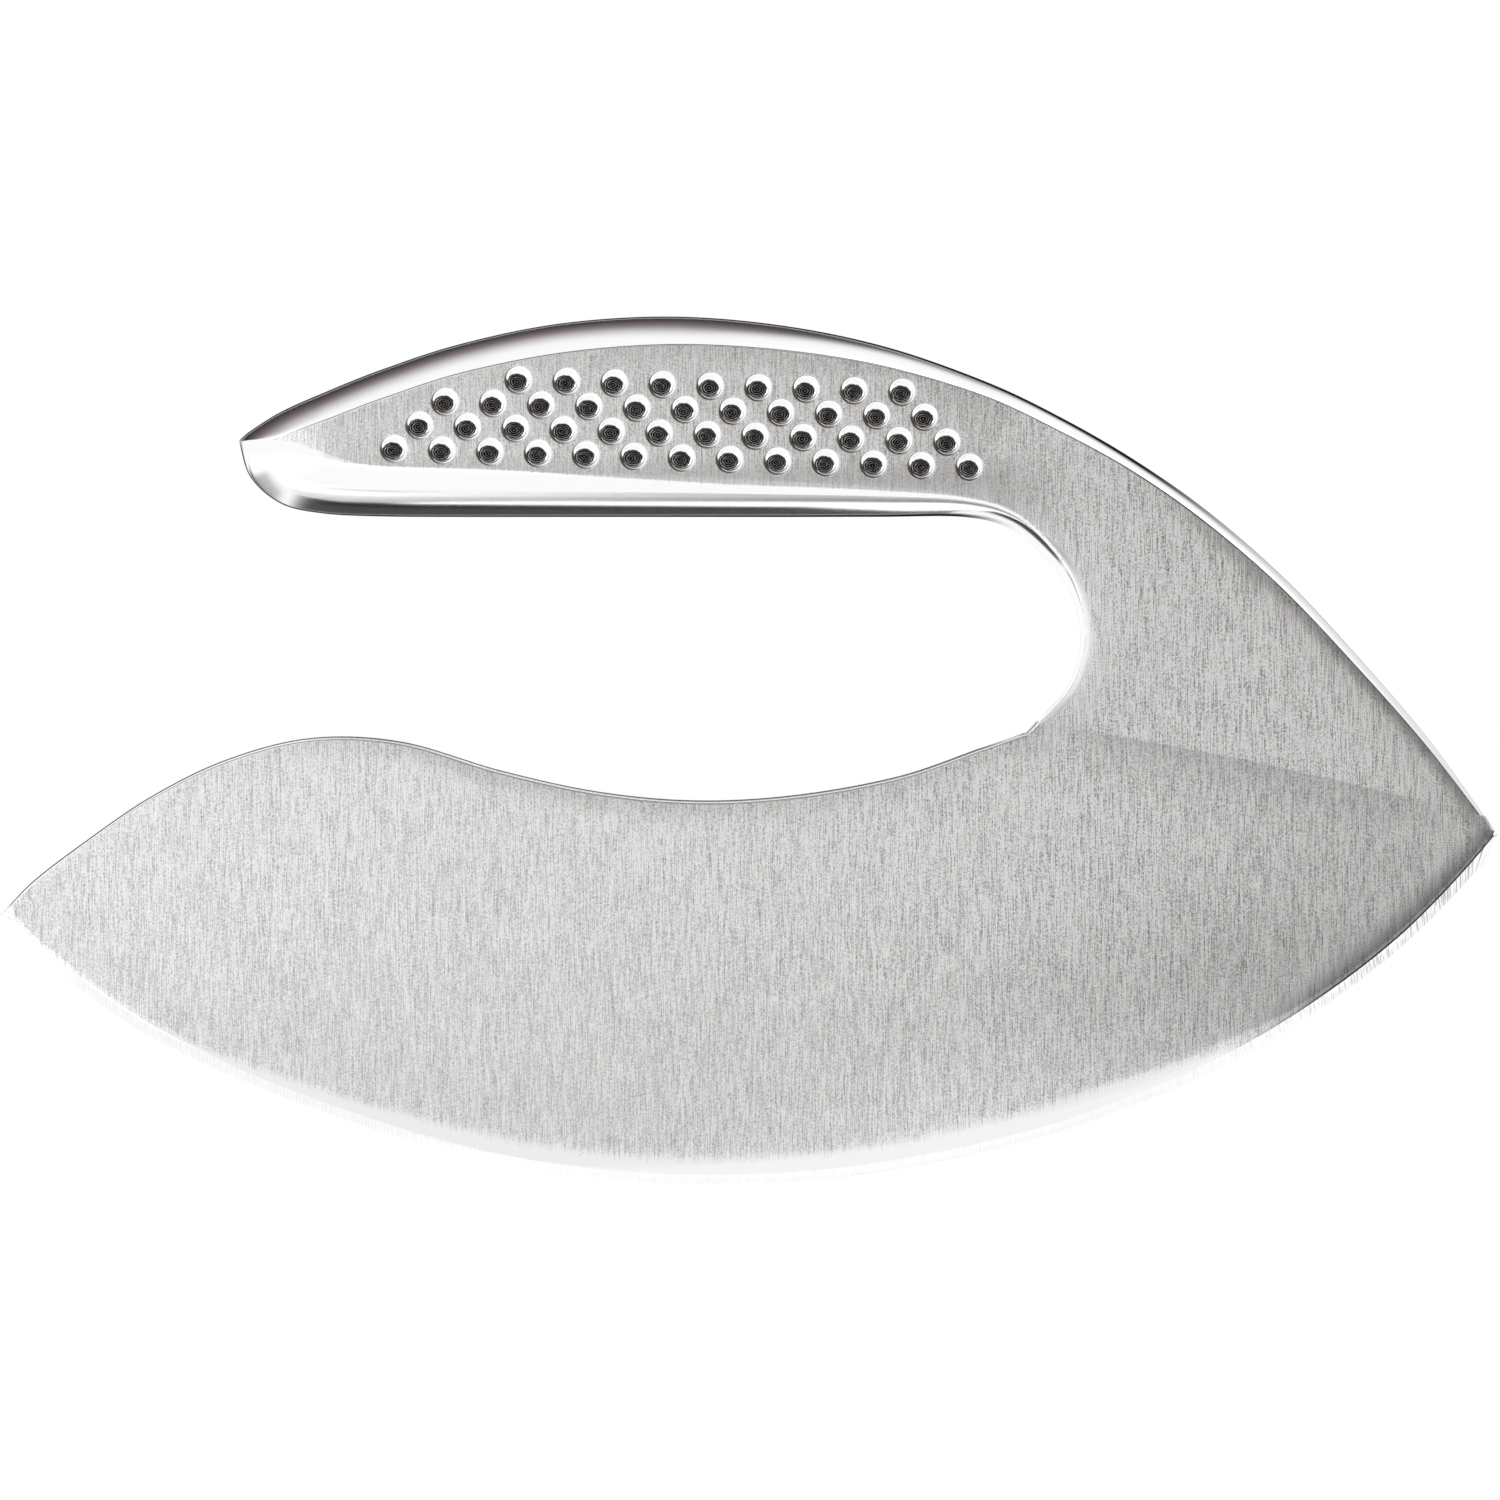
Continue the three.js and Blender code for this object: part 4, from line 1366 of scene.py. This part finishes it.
@dataclass(frozen=True)
class GroundSteel(FaceSteel):
    """The blade's finish: brushed, with painted shade lower down and at the heel, and a bright grind."""

    bright: Triple = (0.85, 0.85, 0.845)
    shade: Triple = (0.03, 0.028, 0.026)
    shade_share: float = 1.0
    fray: float = 0.8
    polish_span: Pair = (0.14, 0.56)
    heel_span: Pair = (0.13, 0.17)
    heel_painted_shade: float = 0.12
    low_span: Pair = (0.048, 0.008)
    low_painted_shade: float = 0.22

    def painted_shade_at(self, sheet: NodeSheet, place: Socket) -> Socket:
        """How much painted shade darkens the brushing: more of it low down and at the heel.

        Args:
            sheet: the material's nodes.
            place: the coordinates.

        Returns:
            The painted shade.
        """
        along, _, height = sheet.split(place)
        low = sheet.times(sheet.step(height, *self.low_span), self.low_painted_shade)
        heel = sheet.times(sheet.step(along, *self.heel_span), self.heel_painted_shade)
        return sheet.math("ADD", low, heel)


@dataclass(frozen=True)
class HandleSteel(FaceSteel):
    """The handle's finish: brushed faces between a polished crown and underside.

    Between the dimples the brushing takes a little painted shade that the arm doesn't, and most at the
    panel's foot.
    """

    panel_end: Pair = (0.132, 0.116)
    panel_painted_shade: float = 0.16
    foot_span: Pair = (0.0885, 0.0845)
    foot_painted_shade: float = 0.6

    def painted_shade_at(self, sheet: NodeSheet, place: Socket) -> Socket:
        """How much painted shade darkens the brushing: some on the dimpled panel, most at its foot.

        Args:
            sheet: the material's nodes.
            place: the coordinates.

        Returns:
            The painted shade.
        """
        along, _, height = sheet.split(place)
        low = sheet.blend(sheet.step(height, *self.foot_span), self.panel_painted_shade, self.foot_painted_shade)
        return sheet.times(sheet.step(along, *self.panel_end), low)

    def surface(self, sheet: NodeSheet, lines: Socket, polish: Socket) -> tuple[object, object]:
        """Relief of lines where it isn't polished, and less metal for the painted dark outline where it is.
        """
        rim = sheet.times(sheet.split(sheet.uv("surface"))[0], polish)
        return sheet.times(lines, sheet.math("SUBTRACT", 1.0, polish)), self.painted_outline(sheet, rim)


@dataclass(frozen=True)
class DimpleSteel(Steel):
    """A dimple's finish: a polished lip round a bowl that is dark partly in its own colour and partly by
    painted reflection, with faint turned rings.

    Lengths are millimetres from the dimple's centre, and the rings' wave is radians to one of them.
    """

    dark_and_painted_shade: Triple = (0.016, 0.014, 0.014)
    bowl_span: Pair = (1.29, 1.12)
    bowl_squash: float = 1.2
    bowl_shift: Pair = (-0.15, -0.24)
    bowl_roughness: float = 0.3
    lip_span: Pair = (1.76, 1.62)
    speckle_scale: float = 2600.0
    wobble: float = 0.3
    ring_wave: float = 21.0
    ring_span: Pair = (0.1, 0.6)
    low_way: Triple = (-0.6, -0.8, 0.0)
    sheen_span: Pair = (-0.5, 0.9)
    sheen_shares: Pair = (0.08, 0.55)
    painted_shadow: float = 0.45
    painted_shadow_start: Pair = (1.5, 1.66)
    painted_shadow_end: Pair = (1.84, 1.72)
    painted_shadow_low: Pair = (0.2, 1.5)

    def build(self) -> Material:
        """Builds the material on the dimple's own coordinates.

        Returns:
            The material.
        """
        material, sheet, place = self.start()
        tone, _ = self.brushing(sheet, place)
        local = sheet.uv("surface")
        # The dark bowl sits low and to the left, a painted shade, so that the lip stays bright as a
        # crescent at the upper right.
        shifted = sheet.vector("SUBTRACT", local, (*self.bowl_shift, 0)).outputs[0]
        squashed = sheet.vector("MULTIPLY", shifted, (1.0, self.bowl_squash, 1.0)).outputs[0]
        inner = sheet.vector("LENGTH", squashed).outputs["Value"]
        outer = sheet.vector("LENGTH", local).outputs["Value"]
        below = sheet.vector("DOT_PRODUCT", local, self.low_way).outputs["Value"]
        speckle = sheet.noise(place, self.speckle_scale, detail=3.0)
        wobble = sheet.times(sheet.math("SUBTRACT", speckle, 0.5), self.wobble)
        radius = sheet.math("ADD", inner, wobble)
        rings = sheet.math("SINE", sheet.times(radius, self.ring_wave))
        ring_tone = sheet.step(sheet.times(rings, speckle), *self.ring_span)
        # Painted sheen: the turned rings grow lighter towards the lower left.
        rings_and_sheen = sheet.times(ring_tone, sheet.blend(sheet.step(below, *self.sheen_span), *self.sheen_shares))
        # Painted shadow: a dark ring outside the lip at the lower left.
        ring = sheet.times(sheet.step(outer, *self.painted_shadow_start), sheet.step(outer, *self.painted_shadow_end))
        painted_shadow = sheet.times(sheet.times(ring, sheet.step(below, *self.painted_shadow_low)), self.painted_shadow)
        bowl, lip = sheet.step(radius, *self.bowl_span), sheet.step(outer, *self.lip_span)
        rim = sheet.mix_colour(painted_shadow, sheet.mix_colour(lip, tone, self.polished), self.dark_and_painted_shade)
        colour = sheet.mix_colour(bowl, rim, sheet.mix_colour(rings_and_sheen, self.dark_and_painted_shade, self.polished))
        edge_rough = sheet.blend(lip, self.brushed_roughness, self.polished_roughness)
        rough = sheet.blend(bowl, edge_rough, self.bowl_roughness)
        self.close(sheet, colour, rough, sheet.times(speckle, bowl))
        return material


@dataclass(frozen=True)
class BevelSteel(Steel):
    """The cutting bevel's finish: bright, with fine grinding marks square to the edge.

    Lengths are millimetres along the edge, and across it a mark is 1 / mark_stretch long.
    """

    mark_spacing: float = 0.22
    mark_stretch: float = 0.35
    mark_span: Pair = (0.48, 0.6)
    mark_tone: Triple = (0.34, 0.34, 0.35)
    mark_roughness: float = 0.34
    heel_span: Pair = (150.0, 196.0)
    mark_shares: Pair = (0.1, 0.75)

    def build(self) -> Material:
        """Builds the material on the distance along the edge.

        Returns:
            The material.
        """
        material, sheet, _ = self.start()
        along = sheet.uv("surface")
        scaled = sheet.vector("MULTIPLY", along, (1 / self.mark_spacing, self.mark_stretch, 1.0)).outputs[0]
        strokes = sheet.noise(scaled, scale=1.0, detail=2.0, noise_dimensions="2D")
        heel = sheet.step(sheet.split(along)[0], *self.heel_span)
        cut = sheet.times(sheet.step(strokes, *self.mark_span), sheet.blend(heel, *self.mark_shares))
        colour = sheet.mix_colour(cut, self.polished, self.mark_tone)
        rough = sheet.blend(cut, self.polished_roughness, self.mark_roughness)
        self.close(sheet, colour, rough, strokes)
        return material


@dataclass(frozen=True)
class PlainSteel(Steel):
    """A finish of one tone all over, with a fine grain and a painted dark outline."""

    grain: float = 900.0
    grain_share: float = 0.3
    grain_tone: float = 0.85
    grain_roughness: float = 0.08
    outline_strength: float = 0.6

    def build(self) -> Material:
        """Builds the material.

        Returns:
            The material.
        """
        material, sheet, place = self.start()
        inputs = {"Vector": place, "Scale": self.grain, "Detail": 4.0, "Roughness": 0.6}
        speckle = sheet.node("TexNoise", inputs).outputs["Fac"]
        low = tuple(value * self.grain_tone for value in self.polished)
        colour = sheet.mix_colour(sheet.times(speckle, self.grain_share), self.polished, low)
        smoothest = self.polished_roughness - self.grain_roughness / 2
        rough = sheet.math("MULTIPLY_ADD", speckle, self.grain_roughness, smoothest)
        self.close(sheet, colour, rough, speckle, self.painted_outline(sheet, self.outline_strength))
        return material


@dataclass(frozen=True)
class Sand:
    """The settled fill: pale quartz grains with darker ones among them, one cell to a grain."""

    pale: Triple = (0.56, 0.47, 0.33)
    dark: Triple = (0.24, 0.18, 0.12)
    dark_span: Pair = (0.6, 1.0)
    grain: float = 1800.0
    bump: float = 0.6
    relief: float = 0.2 * MM
    roughness: float = 0.9

    def build(self) -> Material:
        """Builds the material.

        Returns:
            The material.
        """
        material, sheet = new_material("settled sand")
        place = sheet.node("TexCoord").outputs["Object"]
        cells = sheet.node("TexVoronoi", {"Vector": place, "Scale": self.grain})
        tone = sheet.node("SeparateColor", {0: cells.outputs["Color"]}).outputs[0]
        colour = sheet.mix_colour(sheet.step(tone, *self.dark_span), self.pale, self.dark)
        inputs = {"Height": cells.outputs["Distance"], "Strength": self.bump, "Distance": self.relief}
        normal = sheet.node("Bump", inputs).outputs[0]
        inputs = {"Base Color": colour, "Roughness": self.roughness, "Normal": normal}
        shader = sheet.node("BsdfPrincipled", inputs).outputs[0]
        sheet.node("OutputMaterial", {"Surface": shader})
        return material


def place_in_scene(item: bpy.types.Object) -> bpy.types.Object:
    """Links an object into the scene and hands it back."""
    bpy.context.scene.collection.objects.link(item)
    return item


def quad(name: str, corners: tuple[Triple, ...], material: Material) -> bpy.types.Object:
    """Makes one four-sided face with a UV map that spans it.

    Args:
        name: its name.
        corners: its corners in order, of which the first two span u.
        material: its material.

    Returns:
        The new object.
    """
    mesh = bpy.data.meshes.new(name)
    mesh.from_pydata(corners, [], [(0, 1, 2, 3)])
    mesh.uv_layers.new(name="spread").data.foreach_set("uv", [0, 0, 1, 0, 1, 1, 0, 1])
    mesh.materials.append(material)
    return place_in_scene(bpy.data.objects.new(name, mesh))


def lying(left: float, right: float, near: float, far: float, height: float = MM) -> tuple[Triple, ...]:
    """Corners of a level rectangle."""
    return (left, near, height), (right, near, height), (right, far, height), (left, far, height)


def standing(left: float, right: float, depth: float, low: float, high: float) -> tuple[Triple, ...]:
    """Corners of an upright rectangle that faces the near side."""
    return (left, depth, low), (right, depth, low), (right, depth, high), (left, depth, high)


@dataclass(frozen=True)
class Card:
    """A studio card that only reflections see, and that melts into the white round it.

    Its corners go round from the start of its first side, which runs along u; v runs across. The
    shades are pairs of a place along v and a brightness, or one brightness for the whole card, and
    the soft margins are shares of u and v at its left, right, lower and upper side. The tint fades
    as a shade nears white. Places are metres in the solids' frame.
    """

    name: str
    corners: tuple[Triple, ...]
    shades: tuple[Pair, ...] | float = 1.0
    soft: tuple[float, float, float, float] = (0.0, 0.0, 0.0, 0.0)
    tint: Triple = (1.06, 0.95, 1.0)

    def build(self) -> None:
        """Builds the card, seen by glossy rays only."""
        card = quad(self.name, self.corners, self.material())
        for ray in ("camera", "diffuse", "transmission", "volume_scatter", "shadow"):
            setattr(card, f"visible_{ray}", False)

    def material(self) -> Material:
        """Builds the card's material: the shades along v, white beyond the soft margins.

        Returns:
            The material.
        """
        material, sheet = new_material(self.name)
        u, v, _ = sheet.split(sheet.uv("spread"))
        mask = 1.0
        for margin, (along, border, way) in zip(self.soft, ((u, 0, 1), (u, 1, -1), (v, 0, 1), (v, 1, -1))):
            if margin:
                mask = sheet.times(mask, sheet.step(along, border, border + way * margin))
        ramp = sheet.node("ValToRGB", {0: v})
        even = ((0.0, self.shades), (1.0, self.shades))
        shades = self.shades if isinstance(self.shades, tuple) else even
        while len(ramp.color_ramp.elements) < len(shades):
            ramp.color_ramp.elements.new(1)
        for element, (place, shade) in zip(ramp.color_ramp.elements, shades):
            element.position = place
            paler = (1 - shade) ** 2
            element.color = (*(shade * (1 + (tone - 1) * paler) for tone in self.tint), 1)
        colour = sheet.mix_colour(mask, (1, 1, 1), ramp.outputs[0])
        glow = sheet.node("Emission", {"Color": colour})
        sheet.node("OutputMaterial", {"Surface": glow.outputs[0]})
        return material


CARDS = (
    Card("card_behind_high",
         ((0.13, 0.35, 0.075), (-0.17, 0.35, 0.075), (-0.6, 0.35, 0.72), (0.13, 0.35, 0.72)),
         ((0.0, 0.006), (0.07, 0.009), (0.135, 0.014), (0.231, 0.03), (0.336, 0.055),
          (0.423, 0.095), (0.495, 0.145), (0.57, 0.235), (0.645, 0.42), (0.721, 0.6),
          (0.798, 0.72), (0.885, 0.9), (0.981, 1.0)),
         (0.055, 0.15, 0.0, 0.0), (1.12, 0.88, 1.0)),
    Card("card_behind_low", standing(-0.4, 0.05, 0.36, 0.001, 0.055), 0.01, (0.5, 0.05, 0.0, 0.3)),
    Card("card_behind_right", standing(0.05, 0.13, 0.36, 0.001, 0.1), 0.006, (0.15, 0.35, 0.0, 0.0)),
    Card("mat_behind",
         ((-0.11, 0.025, MM), (0.0, 0.076, MM), (0.0, 0.35, MM), (-0.11, 0.35, MM)),
         ((0.0, 0.004), (0.08, 0.006), (0.16, 0.06), (0.7, 0.08), (1.0, 0.02)),
         (0.3, 0.0, 0.0, 0.0)),
    Card("mat_behind_right",
         ((0.0, 0.076, MM), (0.034, 0.25, MM), (0.034, 0.35, MM), (0.0, 0.35, MM)),
         ((0.0, 0.004), (0.1, 0.006), (0.2, 0.06), (0.7, 0.08), (1.0, 0.02)),
         (0.0, 0.12, 0.0, 0.0)),
    Card("mat_left", lying(-0.3, -0.11, 0.03, 0.35, 1.2 * MM), ((0.0, 0.6), (1.0, 0.35)),
         (0.4, 0.2, 0.3, 0.0)),
    Card("card_in_throat",
         ((0.03, 0.014, 0.002), (0.03, 0.2, 0.002), (0.03, 0.2, 0.083), (0.03, 0.014, 0.083))),
    Card("mat_front", lying(-0.13, 0.11, -0.35, -0.02)),
    Card("card_front_right", standing(-0.05, 1.25, -0.5, 0.0, 1.08), 0.05, (0.05, 0.1, 0.02, 0.2),
         (1.4, 1.0, 0.7)),
    Card("card_front_high", standing(-0.7, 0.63, -0.3, 0.211, 1.0), 0.154, (0.2, 0.15, 0.15, 0.2),
         (1.1, 1.0, 0.95)),
    Card("card_front_low", standing(0.015, 0.615, -0.077, 0.0015, 0.016), 0.03, (0.06, 0.1, 0.0, 0.5),
         (1.3, 1.0, 0.75)),
)


@dataclass(frozen=True)
class Studio:
    """A white studio: pale floor, white surroundings, soft lamps and cards for the reflections.

    Each lamp has its name, its place in metres and its power in watts.
    """

    floor_size: float = 1.6
    white: Triple = (0.86, 0.86, 0.86)
    lift: float = 0.22
    fill: float = 0.9
    glancing: Pair = (0.955, 0.985)
    lamp_size: float = 0.9
    lamps: tuple[tuple[str, Triple, float], ...] = (
        ("lamp_left", (-0.9, -0.7, 1.1), 9.0),
        ("lamp_right", (1.0, 0.6, 1.2), 7.0),
    )

    def rays_seen(self, sheet: NodeSheet) -> Socket:
        """1 for camera, glossy and transmission rays, 0 for the rest.

        Args:
            sheet: the nodes to add to.

        Returns:
            The socket with that value.
        """
        path = sheet.node("LightPath").outputs
        first = sheet.math("MAXIMUM", path["Is Camera Ray"], path["Is Glossy Ray"])
        return sheet.math("MAXIMUM", first, path["Is Transmission Ray"])

    def build(self) -> None:
        """Builds the world, the floor, the lamps and the cards."""
        self.build_world()
        self.build_floor()
        for lamp in self.lamps:
            self.build_lamp(*lamp)
        for card in CARDS:
            card.build()

    def build_world(self) -> None:
        """White for what sees it directly or mirrored, a little less as light."""
        world = bpy.data.worlds.new("studio")
        world.use_nodes = True
        sheet = NodeSheet(world.node_tree)
        strength = sheet.blend(self.rays_seen(sheet), self.fill, 1.0)
        light = sheet.node("Background", {"Color": (1, 1, 1, 1), "Strength": strength})
        sheet.node("OutputWorld", {"Surface": light.outputs[0]})
        bpy.context.scene.world = world

    def build_floor(self) -> None:
        """A pale floor that keeps the tool's shadow and shines white at a glancing view."""
        material, sheet = new_material("pale floor")
        seen = self.rays_seen(sheet)
        paper = sheet.node("BsdfDiffuse", {"Color": (*self.white, 1)}).outputs[0]
        inputs = {"Color": (1, 1, 1, 1), "Strength": sheet.times(seen, self.lift)}
        lifted = sheet.node("AddShader", {0: paper, 1: sheet.node("Emission", inputs).outputs[0]})
        facing = sheet.node("LayerWeight").outputs["Facing"]
        glancing = sheet.times(sheet.step(facing, *self.glancing), seen)
        sheen = sheet.node("Emission", {"Color": (1, 1, 1, 1)}).outputs[0]
        inputs = {0: glancing, 1: lifted.outputs[0], 2: sheen}
        surface = sheet.node("MixShader", inputs).outputs[0]
        sheet.node("OutputMaterial", {"Surface": surface})
        half = self.floor_size / 2
        floor = quad("floor", lying(-half, half, -half, half, 0.0), material)

    def build_lamp(self, name: str, place: Triple, power: float) -> None:
        """Adds a soft square lamp that looks at the tool.

        Args:
            name: the lamp's name.
            place: where it hangs, in metres.
            power: its power in watts.
        """
        light = bpy.data.lights.new(name, "AREA")
        light.energy, light.size = power, self.lamp_size
        lamp = place_in_scene(bpy.data.objects.new(name, light))
        lamp.location = place
        lamp.rotation_euler = (-Vector(place)).to_track_quat("-Z", "Y").to_euler()


@dataclass(frozen=True)
class PhotoCamera:
    """The photograph's view: square-on from the near side, rolled so that the grip is level.

    The picture's width and its middle are millimetres of the drawing.
    """

    distance: float = 5.0
    sensor: float = 36.0
    width: float = 180.36
    middle: Pair = (90.18, 52.14)

    def build(self) -> None:
        """Builds the camera and makes it the scene's."""
        centre = DRAWING.place(np.array([[self.middle[0], -HALF_WIDTH, self.middle[1]]]))[0]
        lens = bpy.data.cameras.new("photo camera")
        lens.sensor_width = self.sensor
        lens.sensor_fit = "HORIZONTAL"
        lens.lens = self.sensor * self.distance / (self.width * MM)
        lens.clip_end = 4 * self.distance
        camera = place_in_scene(bpy.data.objects.new("photo_camera", lens))
        cos, sin = math.cos(DRAWING.lean), math.sin(DRAWING.lean)
        turn = Matrix(((cos, sin, 0), (0, 0, -1), (-sin, cos, 0)))
        place = Vector(centre) + Vector((0, -self.distance, 0))
        camera.matrix_world = Matrix.Translation(place) @ turn.to_4x4()
        bpy.context.scene.camera = camera


def dress_solids() -> None:
    """Gives the carried-over solids their materials."""
    dull = PlainSteel("dull steel", polished=(0.42, 0.42, 0.41), polished_roughness=0.5).build()
    sand = Sand().build()
    for node, finish, material in (("arm_floor", Finish.DULL, dull), ("fill_plug", Finish.DULL, dull),
                                   ("balance_sand", Finish.SAND, sand)):
        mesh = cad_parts[node].data
        mesh.materials.clear()
        mesh.materials.append(material)
        LOG.info("%s: dressed as %s", node, finish.value)


def main() -> None:
    """Builds the studio, the camera and every piece of the tool."""
    logging.basicConfig(level=logging.INFO, format="%(name)s %(message)s")
    bpy.context.scene.view_settings.view_transform = "Standard"
    Studio().build()
    PhotoCamera().build()
    BrushLines().build()
    WeldShade().build()
    ground = GroundSteel("ground blade steel").build()
    bevel = BevelSteel("bevel steel").build()
    rounded = PlainSteel("rounded edge steel").build()
    handle = HandleSteel("handle steel").build()
    dimple = DimpleSteel("dimple steel").build()
    seam = PlainSteel("seam steel").build()
    dress_solids()

    blade, shell, weld = Blade(), HandleShell(), BladeWeld()
    for side, end in ((Side.NEAR, "front"), (Side.FAR, "back")):
        blade.build(f"ground_blade_{end}", f"blade_{end}", side, Finish.BLADE, [ground, bevel, rounded])
        shell.build(f"dimpled_shell_{end}", f"handle_shell_{end}", side, Finish.HANDLE, [handle, dimple])
        weld.build(f"flush_weld_{end}", f"blade_weld_{end}", side, Finish.WELD, [handle])
    SeamWeld(shell).build("seam_weld_polished", "handle_seam_weld", Side.NEAR, Finish.WELD, [seam])

    bpy.context.view_layer.update()


if __name__ == "__main__":
    main()
